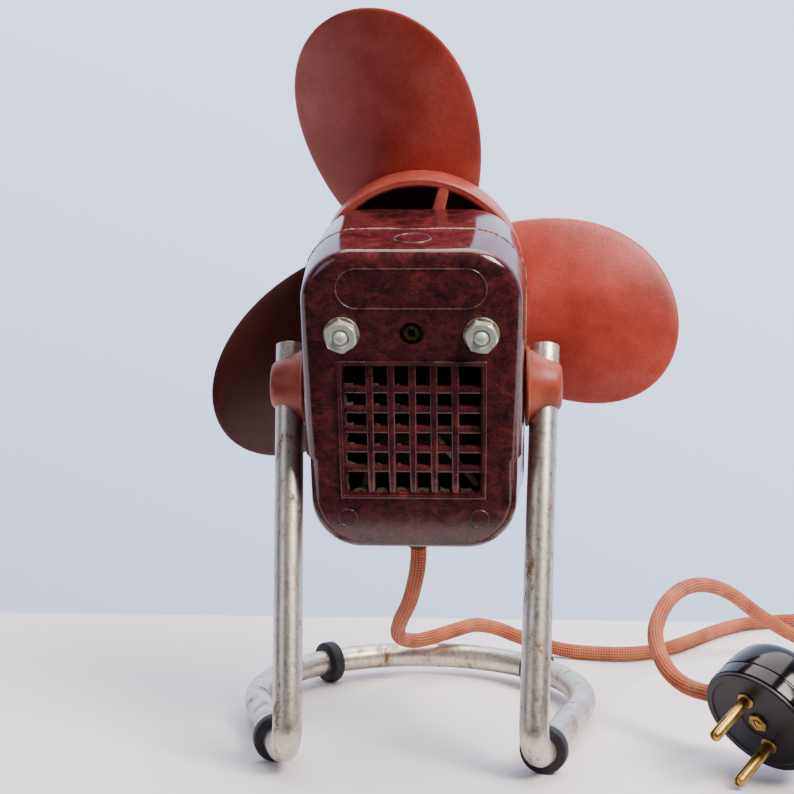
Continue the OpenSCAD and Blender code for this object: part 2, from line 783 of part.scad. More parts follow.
module blade() {
    n = blade_steps;
    m = blade_rings;
    points = [for (face = [-1, 1]) each concat([blade_point(0, 0, face)],
        [for (j = [1 : m]) for (i = [0 : n - 1]) blade_point(i * 360 / n, j / m, face)])];
    other = 1 + m * n;
    function at(j, i) = 1 + (j - 1) * n + i % n;
    fan_back = [for (i = [0 : n - 1]) [0, at(1, i + 1), at(1, i)]];
    fan_front = [for (i = [0 : n - 1]) [other, other + at(1, i), other + at(1, i + 1)]];
    back = [for (j = [1 : m - 1]) for (i = [0 : n - 1])
        each [[at(j, i), at(j + 1, i + 1), at(j + 1, i)], [at(j, i), at(j, i + 1), at(j + 1, i + 1)]]];
    front = [for (f = back) [other + f[2], other + f[1], other + f[0]]];
    edge = [for (i = [0 : n - 1]) each [[at(m, i), other + at(m, i + 1), other + at(m, i)],
        [at(m, i), at(m, i + 1), other + at(m, i + 1)]]];
    polyhedron(points, concat(fan_back, fan_front, back, front, edge));
}

module impeller() {
    spokes = 3;
    hoop_in = 2 * (hoop_r - hoop_t);
    color("#9c4634") translate([0, 0, shaft_z]) {
        difference() {
            union() {
                for (i = [0 : 2]) rotate([0, 90 - blade_angle + 120 * i, 0]) blade();
                round_y(2 * hoop_r, wheel_y, wheel_y + hoop_len);
            }
            round_y(hoop_in, wheel_y - 20, wheel_y + 60);
        }
        ring_y(hoop_in + 1, 2 * hub_r - 1, wheel_y + web_at, wheel_y + web_at + web_t);
        difference() {
            union() {
                round_y(2 * hub_r, wheel_y, wheel_y + hub_len);
                for (i = [0 : spokes - 1]) rotate([0, 15 + i * 360 / spokes, 0])
                    box_y(spoke_w, wheel_y, wheel_y + 6, 0, hoop_r - hoop_t / 2);
            }
            round_y(2 * bush_r, wheel_y - 1, wheel_y + hub_len + 1);
        }
    }
}

module impeller_bush()
    color("#b9924a") ring_y(2 * bush_r, shaft_d, wheel_y, wheel_y + hub_len, 0, shaft_z);

module impeller_nut() {
    y = wheel_y + hub_len;
    h = 8.4;
    color("#b9924a") difference() {
        union() {
            translate([0, y, shaft_z]) rotate([-90, 0, 0]) cylinder(d = 11, h = 5, $fn = 6);
            round_y(8.6, y + 4, y + h, 0, shaft_z);
        }
        round_y(shaft_d, y - 1, shaft_front, 0, shaft_z);
    }
}

// ---- Terminals and cord inside the housing ----

module terminal_block()
    color("#3b2a24") difference() {
        box_y(block_w, front_in - 7.5, front_in, block_z - block_h / 2, block_z + block_h / 2);
        for (x = [-4.5, 4.5]) round_y(3, front_in - 8, front_in - 3, x, block_z);
    }

module terminal_screws()
    color("#c2a04e") for (x = [-4.5, 4.5]) {
        round_y(3, front_in - 7.5, front_in - 3, x, block_z);
        round_y(5, front_in - 9, front_in - 7.5, x, block_z);
    }

module supply_leads() {
    up = -body_down + wall + grommet_in - 1;
    head = front_in - 9;
    color("#d9c98f") for (x = [-1, 1])
        sweep(spline([[x * 1.5, lead_y, -body_down + 2], [x * 1.5, lead_y, up],
            [x * 1.7, lead_y + 1, up + 2.3], [x * 3, (lead_y + head) / 2, block_z + 0.6],
            [x * 4.5, head - 3, block_z], [x * 4.5, head, block_z]], 3), lead_d, [0, 0, 1], [0, 1, 0]);
}

// Rubber sleeve that holds the cord in the bottom of the housing and tapers down it
module cord_grommet() {
    hole_r = grommet_r - grommet_lip;
    z0 = -body_down;
    color("#6b2f24") difference() {
        rotate_extrude() polygon([[0, z0 - grommet_out], [relief_r, z0 - grommet_out],
            [hole_r + 0.6, z0 - 2], [grommet_r, z0 - 1.6], [grommet_r, z0], [hole_r, z0],
            [hole_r, z0 + wall], [grommet_r, z0 + wall], [grommet_r - 0.8, z0 + wall + grommet_in],
            [0, z0 + wall + grommet_in]]);
        for (x = [-1.5, 1.5]) translate([x, lead_y, z0 + 1.5]) cylinder(d = lead_d + 0.6, h = 20);
    }
}

// ---- Cord ----

module cord_drop() {
    p = concat([cord_exit, cord_exit + cord_down * 5], drop_route, [far_route[0]]);
    color("#b96a4a") sweep(spline(p, 2), cord_d, cord_down, join_dir);
}

join_dir = unit(far_route[1] - drop_route[len(drop_route) - 1]);

module cord_far_run() {
    p = concat(far_route, [[coil_at.x, coil_at.y + coil_out + cord_d / 2, cord_d / 2]]);
    color("#b96a4a") sweep(spline(p, 2), cord_d, join_dir, [1, 0, 0]);
}

module cord_near_run() {
    p = concat([[coil_at.x, coil_at.y - coil_out - cord_d / 2, coil_h - cord_d / 2]], near_route,
        [plug_entry - plug_side * 8, plug_entry]);
    color("#b96a4a") sweep(spline(p, 2), cord_d, [-1, 0, 0], plug_side);
}

module cord_coil()
    color("#b96a4a") translate([coil_at.x, coil_at.y, tie_t]) rotate_extrude()
        polygon([[coil_in + 1.5, 0], [coil_out - 1.5, 0], [coil_out, 1.5],
            [coil_out, coil_h - 1.5], [coil_out - 1.5, coil_h], [coil_in + 1.5, coil_h],
            [coil_in, coil_h - 1.5], [coil_in, 1.5]]);

// Flat band tied round one side of the coil
module cord_tie() {
    w = 6;
    slack = 0.25;
    color("#8b8378") translate([coil_at.x, coil_at.y, 0]) difference() {
        translate([coil_in - slack - tie_t, -w / 2, 0])
            cube([coil_out - coil_in + 2 * (slack + tie_t), w, coil_h + 2 * tie_t]);
        translate([coil_in - slack, -w / 2 - 1, tie_t])
            cube([coil_out - coil_in + 2 * slack, w + 2, coil_h]);
    }
}

// ---- Plug ----

// Plug pieces are drawn with their pins along +Z and in line along X
module in_plug() framed(plug_at, plug_across, plug_dir) children();

module plug_body() {
    color("#17161a") in_plug() difference() {
        rotate_extrude() polygon([[0, -plug_len], [plug_d / 2 - 4, -plug_len],
            [plug_d / 2 - 1, -plug_len + 3], [plug_d / 2, -6], [plug_d / 2, -1.5], [0, -1.5]]);
        for (x = [-1, 1]) translate([x * pin_span / 2, 0, -12]) cylinder(d = stem_d, h = 20);
        translate([0, 0, -10]) cylinder(d = 3.5, h = 20);
    }
}

module plug_cover() {
    color("#1c1b20") in_plug() difference() {
        translate([0, 0, -1.5]) cylinder(d = plug_d - 0.6, h = 1.5);
        for (x = [-1, 1]) translate([x * pin_span / 2, 0, -2]) cylinder(d = stem_d, h = 5);
        translate([0, 0, -2]) cylinder(d = 6, h = 5);
    }
}

module plug_pins() {
    tip = 0.8;
    slot_w = 0.7;
    slot_from = pin_len / 2 + 0.6;
    color("#b8923c") in_plug() for (x = [-1, 1]) translate([x * pin_span / 2, 0, 0])
        difference() {
            union() {
                translate([0, 0, -12]) cylinder(d = stem_d, h = 12);
                cylinder(d = pin_d, h = pin_len - tip);
                translate([0, 0, pin_len - tip])
                    cylinder(d1 = pin_d, d2 = pin_d - 2 * tip, h = tip);
            }
            translate([-pin_d, -slot_w / 2, slot_from]) cube([2 * pin_d, slot_w, pin_len]);
        }
}

module plug_screw()
    color("#a9935a") in_plug() difference() {
        union() {
            translate([0, 0, -10]) cylinder(d = 3.5, h = 8.5);
            translate([0, 0, -1.5]) cylinder(d = 5.6, h = 1.2);
        }
        translate([-4, -0.4, -0.9]) cube([8, 0.8, 2]);
    }

stand_tube();
foot_rings();
right_trunnion_bush();
left_trunnion_bush();
in_head() rear_shell();
in_head() front_shell();
in_head() shell_seal();
in_head() clamp_studs();
in_head() stud_inserts();
in_head() stud_sleeves();
in_head() clamp_washers();
in_head() clamp_nuts();
in_head() stator_core();
in_head() shading_rings();
in_head() coil_bobbin();
in_head() coil_winding();
in_head() coil_leads();
in_head() rear_bracket();
in_head() front_bracket();
in_head() rear_bearing();
in_head() front_bearing();
in_head() bearing_felts();
in_head() oil_tube();
in_head() rotor();
in_head() rotor_end_rings();
in_head() motor_shaft();
in_head() thrust_washers();
in_head() impeller();
in_head() impeller_bush();
in_head() impeller_nut();
in_head() terminal_block();
in_head() terminal_screws();
in_head() supply_leads();
in_head() cord_grommet();
cord_drop();
cord_far_run();
cord_near_run();
cord_coil();
cord_tie();
plug_body();
plug_cover();
plug_pins();
plug_screw();
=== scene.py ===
# %% [markdown]
# # A small desk fan, seen from behind
# The frame comes first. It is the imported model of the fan: every part in its place, in
# metres, grouped into the bodies that move. Everything made below is laid over it.

# %% Load the frame
import math
import random

import bmesh
import bpy
from mathutils import Matrix, Vector, noise


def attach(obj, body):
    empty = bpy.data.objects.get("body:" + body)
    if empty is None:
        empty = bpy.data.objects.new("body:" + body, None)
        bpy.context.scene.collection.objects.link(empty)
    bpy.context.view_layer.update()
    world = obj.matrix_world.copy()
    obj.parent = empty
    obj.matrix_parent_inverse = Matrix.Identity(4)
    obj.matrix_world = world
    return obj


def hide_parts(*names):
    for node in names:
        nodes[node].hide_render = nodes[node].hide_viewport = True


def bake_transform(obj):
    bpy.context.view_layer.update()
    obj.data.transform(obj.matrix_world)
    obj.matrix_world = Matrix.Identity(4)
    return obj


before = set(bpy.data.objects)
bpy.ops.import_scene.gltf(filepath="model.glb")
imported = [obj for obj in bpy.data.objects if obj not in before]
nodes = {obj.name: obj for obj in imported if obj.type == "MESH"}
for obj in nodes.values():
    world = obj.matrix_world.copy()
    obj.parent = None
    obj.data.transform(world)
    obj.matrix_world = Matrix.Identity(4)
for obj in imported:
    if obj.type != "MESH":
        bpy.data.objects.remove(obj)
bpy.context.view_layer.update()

random.seed(7)
noise.seed_set(7)
print("parts in the frame:", len(nodes))

# %% [markdown]
# ## Sizes
# The head pieces are drawn level, as on a bench, with the tilt axis through the origin,
# and tipped nose up into the stand at the end. One matrix does that for all of them.

# %% Sizes in metres and the head's place
MM = 0.001
AXIS_HEIGHT = 128.5 * MM
HEAD_TILT = math.radians(16)
HEAD = Matrix.Translation((0, 0, AXIS_HEIGHT)) @ Matrix.Rotation(HEAD_TILT, 4, "X")


def mm(*values):
    """A vector given in millimetres."""
    return Vector(values) * MM


# %% [markdown]
# ## Camera
# A long lens at table height, a little above the fan's middle and nearly level. Its
# distance sets how much larger the plug looks than the far side of the floor loop.

# %% Camera
bpy.ops.object.camera_add(location=mm(25.6, -538.35, 169.4))
camera = bpy.context.object
camera.name = "camera"
camera.rotation_euler = (math.radians(90 - 4.76), 0, math.radians(3.45))
camera.data.sensor_width = 36
camera.data.lens = 69.2
camera.data.clip_start, camera.data.clip_end = 0.01, 20
bpy.context.scene.camera = camera

# %% [markdown]
# ## The cord's route
# A braided flex leaves the bottom of the housing, bends down to the floor, climbs over
# the floor loop in a low hump and runs off along the floor. The length that nobody sees
# is wound into a neat coil, and the end comes back in an arch to the plug.

# %% Route of the cord
CORD_D = 6 * MM
COIL_CENTRE = mm(216, 152, 0)
COIL_R = 32 * MM
cord_exit = HEAD @ mm(0, 0, -62.5)
cord_down = (HEAD.to_3x3() @ Vector((0, 0, -1))).normalized()
drop_route = [(-1, 22, 56), (-4, 32, 44), (-8, 45, 34), (-10, 58, 26), (-9, 71, 20), (-4, 80, 17)]
far_route = [
    (3, 87, 17), (11, 94, 18), (20, 103, 18.5), (29, 113, 15), (38, 120, 10), (49, 124, 5.5),
    (61, 123, 3), (76, 119, 3), (90, 120, 3), (104, 129, 3), (118, 146, 3), (132, 165, 3),
    (148, 180, 3), (168, 187, 3), (192, 191, 3.2),
]
near_route = [
    (200, 112, 10.5), (185, 117, 6), (171, 124, 6), (157, 129, 11), (142, 123, 21),
    (128, 106, 33), (114, 84, 41), (102, 62, 43.5), (93, 42, 41), (88, 26, 34), (90, 12, 26),
    (96, 2, 21.5),
]

# %% [markdown]
# The plug lies on the floor on the rim of its body and one pin tip. Three directions fix
# it: the way its pins point, the line between the pins, and the way the cord goes in.

# %% The plug's place
plug_at = mm(115, -37, 19.6)
plug_dir = Vector((-0.634, -0.596, -0.493)).normalized()
plug_across = plug_dir.cross(Vector((0.457, 0.225, -0.86)).cross(plug_dir)).normalized()
plug_side = plug_dir.cross(plug_across)
PLUG_R = 20.5 * MM
plug_entry = plug_at - plug_dir * 11 * MM - plug_side * PLUG_R
PLUG = Matrix((plug_across, plug_side, plug_dir)).transposed().to_4x4()
PLUG.translation = plug_at

# %% [markdown]
# The coil is wound in two columns, a cord's width apart. Each turn has to move over or up
# before it meets the turn laid before it, so the moves are spread round the coil: in to the
# inner column, up a layer, out again, and up once more. That leaves no turn in another.

# %% Coil turns and the whole centreline
COIL_MOVES = [  # turns done: radius beyond the middle, height of the centre, in cord widths
    (0.00, 0.5, 0.6), (0.78, 0.5, 0.6), (1.00, -0.5, 0.6), (1.55, -0.5, 0.6), (1.78, -0.5, 1.6),
    (2.28, -0.5, 1.6), (2.52, 0.5, 1.6), (3.02, 0.5, 1.6), (3.28, 0.5, 2.6), (3.50, 0.5, 2.6),
]


def coil_point(done):
    """A point of the coil's centreline after so many turns."""
    for (t0, out0, up0), (t1, out1, up1) in zip(COIL_MOVES, COIL_MOVES[1:]):
        if t0 <= done <= t1:
            t = (done - t0) / (t1 - t0)
            t = t * t * (3 - 2 * t)
            reach = COIL_R + (out0 + (out1 - out0) * t) * CORD_D
            return Vector((COIL_CENTRE.x + reach * math.sin(done * math.tau),
                           COIL_CENTRE.y + reach * math.cos(done * math.tau),
                           (up0 + (up1 - up0) * t) * CORD_D))


def smooth_line(points, steps):
    """A Catmull-Rom curve through the points, as the cord's centreline."""
    line = []
    for i in range(len(points) - 1):
        a, b = points[max(i - 1, 0)], points[i]
        c, d = points[i + 1], points[min(i + 2, len(points) - 1)]
        for k in range(steps):
            t = k / steps
            line.append((2 * b + (c - a) * t + (2 * a - 5 * b + 4 * c - d) * t * t
                         + (3 * b - a - 3 * c + d) * t ** 3) / 2)
    return line + [points[-1]]


coil = [coil_point(min(i / 28, 3.5)) for i in range(99)]
cord_points = [cord_exit, cord_exit + cord_down * 5 * MM]
cord_points += [mm(*p) for p in drop_route + far_route] + coil + [mm(*p) for p in near_route]
cord_points += [plug_entry - plug_side * 8 * MM, plug_entry, plug_entry + plug_side * 3 * MM]
cord_line = smooth_line(cord_points, 4)

# %% [markdown]
# The cord is one tube swept along that line. Its UV map runs once round the cord and along
# it in millimetres, so that the braid drawn on it keeps its true size round every bend.

# %% Sweep the cord
CORD_SIDES = 20


def even_steps(line, step):
    """Points a constant distance apart along a line."""
    out, carry = [line[0]], 0.0
    for a, b in zip(line, line[1:]):
        span = (b - a).length
        at = step - carry
        while at < span:
            out.append(a.lerp(b, at / span))
            at += step
        carry = span - (at - step)
    return out + [line[-1]]


def swept_tube(name, line, radius, sides):
    """A closed tube along a line, with a UV map: round it, and along it in millimetres."""
    mesh = bpy.data.meshes.new(name)
    piece = bpy.data.objects.new(name, mesh)
    bpy.context.scene.collection.objects.link(piece)
    shape = bmesh.new()
    side = Vector((1, 0, 0.2))
    rings, along, travelled = [], [], 0.0
    for i, point in enumerate(line):
        ahead = line[min(i + 1, len(line) - 1)] - line[max(i - 1, 0)]
        ahead.normalize()
        side = (side - ahead * side.dot(ahead)).normalized()
        other = ahead.cross(side)
        rings.append([shape.verts.new(point + (side * math.cos(k * math.tau / sides)
                                               + other * math.sin(k * math.tau / sides)) * radius)
                      for k in range(sides)])
        travelled += (point - line[i - 1]).length if i else 0
        along.append(travelled / MM)
    uv = shape.loops.layers.uv.new("UVMap")
    for i in range(len(rings) - 1):
        for k in range(sides):
            n = (k + 1) % sides
            face = shape.faces.new((rings[i][k], rings[i][n], rings[i + 1][n], rings[i + 1][k]))
            face.smooth = True
            for loop, u, v in zip(face.loops, (k, k + 1, k + 1, k),
                                  (along[i], along[i], along[i + 1], along[i + 1])):
                loop[uv].uv = (u / sides, v)
    shape.faces.new(list(reversed(rings[0])))
    shape.faces.new(rings[-1])
    bmesh.ops.recalc_face_normals(shape, faces=shape.faces)
    shape.to_mesh(mesh)
    shape.free()
    return piece


cord_path = even_steps(cord_line, 1.5 * MM)
cord = swept_tube("braided_cord", cord_path, CORD_D / 2, CORD_SIDES)
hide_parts("cord_drop", "cord_far_run", "cord_near_run", "cord_coil")
print("cord rings:", len(cord_path))

# %% [markdown]
# ## Finishes
# Every finish is drawn by nodes. Colours are given as the hex codes seen on screen, so one
# function turns them to the linear values that the shader works in. Another adds a node
# with its settings and its links, and everything else is built from those two.

# %% Colour and node helpers
def colour(code):
    """An sRGB hex code as linear red, green, blue and alpha."""
    out = []
    for i in (0, 2, 4):
        c = int(code[i:i + 2], 16) / 255
        out.append(c / 12.92 if c <= 0.04045 else ((c + 0.055) / 1.055) ** 2.4)
    return (*out, 1)


def add(tree, kind, settings=None, links=None, stops=None):
    """Adds a node, with settings by property or input name and links by input name."""
    node = tree.nodes.new("ShaderNode" + kind)
    for key, value in (settings or {}).items():
        if isinstance(key, str) and hasattr(node, key):
            setattr(node, key, value)
        else:
            node.inputs[key].default_value = value
    for key, source in (links or {}).items():
        tree.links.new(source, node.inputs[key])
    if stops:
        ramp = node.color_ramp.elements
        while len(ramp) < len(stops):
            ramp.new(0.5)
        for element, (at, code) in zip(ramp, stops):
            element.position, element.color = at, colour(code)
    return node


def new_finish(name, **surface):
    """A material with its shader set, the tree to add to, and its Object coordinates."""
    finish = bpy.data.materials.new(name)
    finish.use_nodes = True
    tree = finish.node_tree
    shader = tree.nodes["Principled BSDF"]
    for key, value in surface.items():
        shader.inputs[key.replace("_", " ")].default_value = value
    place = add(tree, "TexCoord").outputs["Object"]
    return finish, tree, shader, place


def link_height(tree, shader, height, distance, strength=1.0):
    """Bumps the surface by a height pattern, with its depth in millimetres."""
    bump = add(tree, "Bump", {"Distance": distance * MM, "Strength": strength},
               {"Height": height})
    tree.links.new(bump.outputs["Normal"], shader.inputs["Normal"])


# %% [markdown]
# Patterns are worked out in real sizes. A noise of scale 1 repeats about once a metre, so
# one function gives the scale for a grain of so many millimetres.

# %% Grain size to texture scale
def grain(size_mm):
    """The scale of a texture whose features are about this many millimetres across."""
    return 1 / (size_mm * MM)


# %% [markdown]
# ### Bakelite
# Phenolic moulding compound filled with wood flour: red brown and black powders that never
# quite mix, so the surface is cloudy at a few millimetres and streaked where it flowed. It
# is glossy where it was pressed against polished steel, and dulled by age and fingers.
# A copy of the same finish with paler tones is a painted highlight for the raised lines, and
# for the rim's top edge, which is also rubbed.

# %% Mottled bakelite
bakelite, tree, shader, place = new_finish("bakelite_mottled", Roughness=0.2, IOR=1.55)
level = add(tree, "Mapping", {"vector_type": "POINT", "Rotation": (-HEAD_TILT, 0, 0),
                              "Scale": (1.0, 1.0, 1.35)}, {"Vector": place})
cloud = add(tree, "TexNoise", {"Scale": grain(7), "Detail": 8.0, "Roughness": 0.7,
                               "Distortion": 0.6}, {"Vector": level.outputs[0]})
specks = add(tree, "TexNoise", {"Scale": grain(1.2), "Detail": 4.0}, {"Vector": level.outputs[0]})
mix = add(tree, "MixRGB", {"blend_type": "OVERLAY", "Fac": 0.45},
          {"Color1": cloud.outputs["Fac"], "Color2": specks.outputs["Fac"]})
tone = add(tree, "ValToRGB", None, {"Fac": mix.outputs[0]},
           [(0.28, "1c0d10"), (0.42, "3a1619"), (0.56, "562024"), (0.74, "7d302f")])
tree.links.new(tone.outputs[0], shader.inputs["Base Color"])
wear = add(tree, "ValToRGB", None, {"Fac": cloud.outputs["Fac"]},
           [(0.35, "5a5a5a"), (0.75, "828282")])
tree.links.new(wear.outputs[0], shader.inputs["Roughness"])
ripple = add(tree, "TexNoise", {"Scale": grain(0.7), "Detail": 2.0}, {"Vector": place})
link_height(tree, shader, ripple.outputs["Fac"], 0.03, 0.35)

# Painted highlight: a paler copy of the bakelite, for the raised lines and the rubbed top edge of
# the rim.
bakelite_highlight_and_wear = bakelite.copy()
bakelite_highlight_and_wear.name = "bakelite_highlight_and_rubbed"
for node in bakelite_highlight_and_wear.node_tree.nodes:
    if node.type == "VALTORGB" and len(node.color_ramp.elements) == 4:
        for element, code in zip(node.color_ramp.elements, ("3a2024", "4d2d2e", "664440",
                                                            "7f5c53")):
            element.color = colour(code)

# %% [markdown]
# ### Nickel plated steel tube
# Nickel is a warm, slightly yellow grey. On an old stand the plating has gone milky and
# has pinholes, where rust creeps out in brown streaks along the tube.

# %% Old nickel plate
nickel, tree, shader, place = new_finish("nickel_plate_worn", Metallic=1.0, Roughness=0.22)
long_way = add(tree, "Mapping", {"Rotation": (math.radians(-20), 0, 0),
                                 "Scale": (1.0, 1.0, 0.22)}, {"Vector": place})
streaks = add(tree, "TexNoise", {"Scale": grain(6), "Detail": 8.0, "Roughness": 0.65},
              {"Vector": long_way.outputs[0]})
pits = add(tree, "TexNoise", {"Scale": grain(1.3), "Detail": 5.0, "Roughness": 0.7},
           {"Vector": place})
rust_where = add(tree, "MixRGB", {"blend_type": "LINEAR_LIGHT", "Fac": 0.35},
                 {"Color1": streaks.outputs["Fac"], "Color2": pits.outputs["Fac"]})
rust = add(tree, "ValToRGB", None, {"Fac": rust_where.outputs[0]},
           [(0.54, "000000"), (0.68, "ffffff")])
plate = add(tree, "ValToRGB", None, {"Fac": pits.outputs["Fac"]},
            [(0.3, "a89f90"), (0.6, "d3ccc0")])
brown = add(tree, "ValToRGB", None, {"Fac": pits.outputs["Fac"]},
            [(0.35, "3a281d"), (0.65, "82592f")])
mixed = add(tree, "MixRGB", None, {"Fac": rust.outputs[0], "Color1": plate.outputs[0],
                                   "Color2": brown.outputs[0]})
tree.links.new(mixed.outputs[0], shader.inputs["Base Color"])
metal = add(tree, "Math", {"operation": "MULTIPLY_ADD", 1: -0.75, 2: 1.0},
            {0: rust.outputs[0]})
tree.links.new(metal.outputs[0], shader.inputs["Metallic"])
rough = add(tree, "Math", {"operation": "MULTIPLY_ADD", 1: 0.4, 2: 0.2}, {0: rust_where.outputs[0]})
tree.links.new(rough.outputs[0], shader.inputs["Roughness"])
link_height(tree, shader, rust_where.outputs[0], 0.06, 0.5)

# %% [markdown]
# ### Rubbers
# The blades and bushes are soft red rubber with mineral filler: matt, a little chalky
# where it has bloomed, darker where hands and oil have been. The blades, hoop, hub, spokes
# and web also carry a painted shade value in a colour attribute, painted on below: the blade
# facing away from the light and the web behind the hoop are darkest. The floor rings are black.

# %% Three rubbers from one recipe
def rubber(name, dark, middle, light, blotch, roughness, with_painted_shade=False):
    """A soft matt rubber in three tones, blotched and finely grained."""
    finish, tree, shader, place = new_finish(name, Roughness=roughness, IOR=1.38)
    patches = add(tree, "TexNoise", {"Scale": grain(blotch), "Detail": 7.0, "Roughness": 0.6},
                  {"Vector": place})
    fine = add(tree, "TexNoise", {"Scale": grain(0.9), "Detail": 3.0}, {"Vector": place})
    both = add(tree, "MixRGB", {"blend_type": "OVERLAY", "Fac": 0.25},
               {"Color1": patches.outputs["Fac"], "Color2": fine.outputs["Fac"]})
    tone = add(tree, "ValToRGB", None, {"Fac": both.outputs[0]},
               [(0.28, dark), (0.5, middle), (0.75, light)])
    # Painted shade: the base colour is multiplied by a shade value kept per piece in a colour
    # attribute.
    if with_painted_shade:
        painted_shade = add(tree, "Attribute", {"attribute_name": "painted_shade"})
        tone = add(tree, "MixRGB", {"blend_type": "MULTIPLY", "Fac": 1.0},
                   {"Color1": tone.outputs[0], "Color2": painted_shade.outputs["Color"]})
    tree.links.new(tone.outputs[0], shader.inputs["Base Color"])
    link_height(tree, shader, fine.outputs["Fac"], 0.12, 0.5)
    return finish


blade_rubber = rubber("red_rubber_blade", "8f2d20", "b04438", "c46659", 34, 0.4, True)
bush_rubber = rubber("red_rubber_bush", "742c1c", "96402b", "ab5239", 12, 0.4)
ring_rubber = rubber("black_rubber_ring", "141418", "1d1d22", "30303a", 6, 0.6)
sleeve_rubber = rubber("brown_rubber_sleeve", "3f1c16", "5a2a20", "6d3528", 5, 0.55)

# %% [markdown]
# ### Braided cotton over the flex
# Two sets of threads wind round the cord, one each way, each passing over and under the
# other. Seen close it is a net of small slanted stitches. A few threads carry a grey tracer,
# which shows as a small mark every couple of centimetres.

# %% Braid drawn in the cord's own UV map
braid, tree, shader, place = new_finish("cotton_braid", Roughness=0.85, IOR=1.5)
uv = add(tree, "UVMap", {"uv_map": "UVMap"})
split = add(tree, "SeparateXYZ", None, {"Vector": uv.outputs[0]})
BRAID_THREADS = 8    # pairs of threads round the cord, drawn coarse enough to show
BRAID_RISE = 17.0    # millimetres a thread climbs in one turn
turns = add(tree, "Math", {"operation": "MULTIPLY", 1: float(BRAID_THREADS)},
            {0: split.outputs["X"]})
climb = add(tree, "Math", {"operation": "MULTIPLY", 1: BRAID_THREADS / BRAID_RISE},
            {0: split.outputs["Y"]})
waves = []
for operation in ("ADD", "SUBTRACT"):
    slant = add(tree, "Math", {"operation": operation},
                {0: turns.outputs[0], 1: climb.outputs[0]})
    angle = add(tree, "Math", {"operation": "MULTIPLY", 1: math.tau}, {0: slant.outputs[0]})
    waves.append(add(tree, "Math", {"operation": "SINE"}, {0: angle.outputs[0]}))
weave = add(tree, "Math", {"operation": "MULTIPLY"},
            {0: waves[0].outputs[0], 1: waves[1].outputs[0]})
height = add(tree, "Math", {"operation": "MULTIPLY_ADD", 1: 0.5, 2: 0.5}, {0: weave.outputs[0]})
soft = add(tree, "TexNoise", {"Scale": grain(14), "Detail": 4.0}, {"Vector": place})
# Painted shade: the colour darkens where the weave is low, in the gaps between threads, with soft
# noise blotches over it.
weave_shade_and_blotch = add(tree, "Math", {"operation": "MULTIPLY_ADD", 1: 0.7}, {0: height.outputs[0],
                                                                   2: soft.outputs["Fac"]})
tone = add(tree, "ValToRGB", None, {"Fac": weave_shade_and_blotch.outputs[0]},
           [(0.38, "43190d"), (0.60, "8a3f20"), (0.80, "a65431"), (1.0, "ba6c48")])
marks = add(tree, "TexVoronoi", {"Scale": grain(7.5), "Randomness": 1.0}, {"Vector": place})
tracer = add(tree, "ValToRGB", None, {"Fac": marks.outputs["Distance"]},
             [(0.10, "ffffff"), (0.17, "000000")])
with_marks = add(tree, "MixRGB", {"Color2": colour("7c7078")},
                 {"Fac": tracer.outputs[0], "Color1": tone.outputs[0]})
tree.links.new(with_marks.outputs[0], shader.inputs["Base Color"])
link_height(tree, shader, height.outputs[0], 0.35, 0.9)
cord.data.materials.append(braid)

# %% [markdown]
# ### The small metals
# Zinc on the nuts is pale and faintly green, brass on the pins and inserts is brown where
# nothing rubs it, and steel parts inside are plain. One recipe makes them all: a metal
# whose tone and gloss drift over a few millimetres.

# %% Small metals
def small_metal(name, dark, light, roughness, blotch=3.0):
    """A plain metal for small hardware, drifting between two tones."""
    finish, tree, shader, place = new_finish(name, Metallic=1.0, Roughness=roughness)
    drift = add(tree, "TexNoise", {"Scale": grain(blotch), "Detail": 6.0, "Roughness": 0.7},
                {"Vector": place})
    tone = add(tree, "ValToRGB", None, {"Fac": drift.outputs["Fac"]},
               [(0.35, dark), (0.65, light)])
    tree.links.new(tone.outputs[0], shader.inputs["Base Color"])
    dull = add(tree, "Math", {"operation": "MULTIPLY_ADD", 1: 0.3, 2: roughness - 0.15},
               {0: drift.outputs["Fac"]})
    tree.links.new(dull.outputs[0], shader.inputs["Roughness"])
    link_height(tree, shader, drift.outputs["Fac"], 0.03, 0.4)
    return finish


brass = small_metal("brass_tarnished", "7d6232", "c2a05a", 0.38)
brass_dark = small_metal("brass_oiled", "2e220e", "a88a44", 0.3, 1.2)
bronze = small_metal("bronze_sintered", "8a6234", "b98a4c", 0.55, 0.8)
steel = small_metal("steel_ground", "8c8e90", "b8babc", 0.3)
iron = small_metal("iron_laminated", "1c1b1c", "343333", 0.6, 1.2)
copper = small_metal("copper_bare", "9a5530", "c07a4a", 0.35)
aluminium = small_metal("aluminium_cast", "a4a7a9", "c8cbcd", 0.5, 1.5)

# %% [markdown]
# ### Zinc plate gone chalky
# Old zinc turns to a pale, matt, slightly green skin that hides the metal, with rust dust
# in the corners. So it is less metallic than new plate.

# %% Chalky zinc
zinc, tree, shader, place = new_finish("zinc_chalky", Metallic=0.45, Roughness=0.42)
drift = add(tree, "TexNoise", {"Scale": grain(2.2), "Detail": 7.0, "Roughness": 0.7},
            {"Vector": place})
tone = add(tree, "ValToRGB", None, {"Fac": drift.outputs["Fac"]},
           [(0.28, "a39678"), (0.40, "cfd1c2"), (0.7, "e6eadf")])
tree.links.new(tone.outputs[0], shader.inputs["Base Color"])
link_height(tree, shader, drift.outputs["Fac"], 0.06, 0.5)
zinc_rusty = small_metal("zinc_rusted", "5f4630", "b9b0a0", 0.6, 2.5)

# %% [markdown]
# ### Plain stuffs
# Fibre, felt, tape, sleeving, the coil and the plastics inside share one recipe: a body
# colour that varies a little, and a grain of the right size.

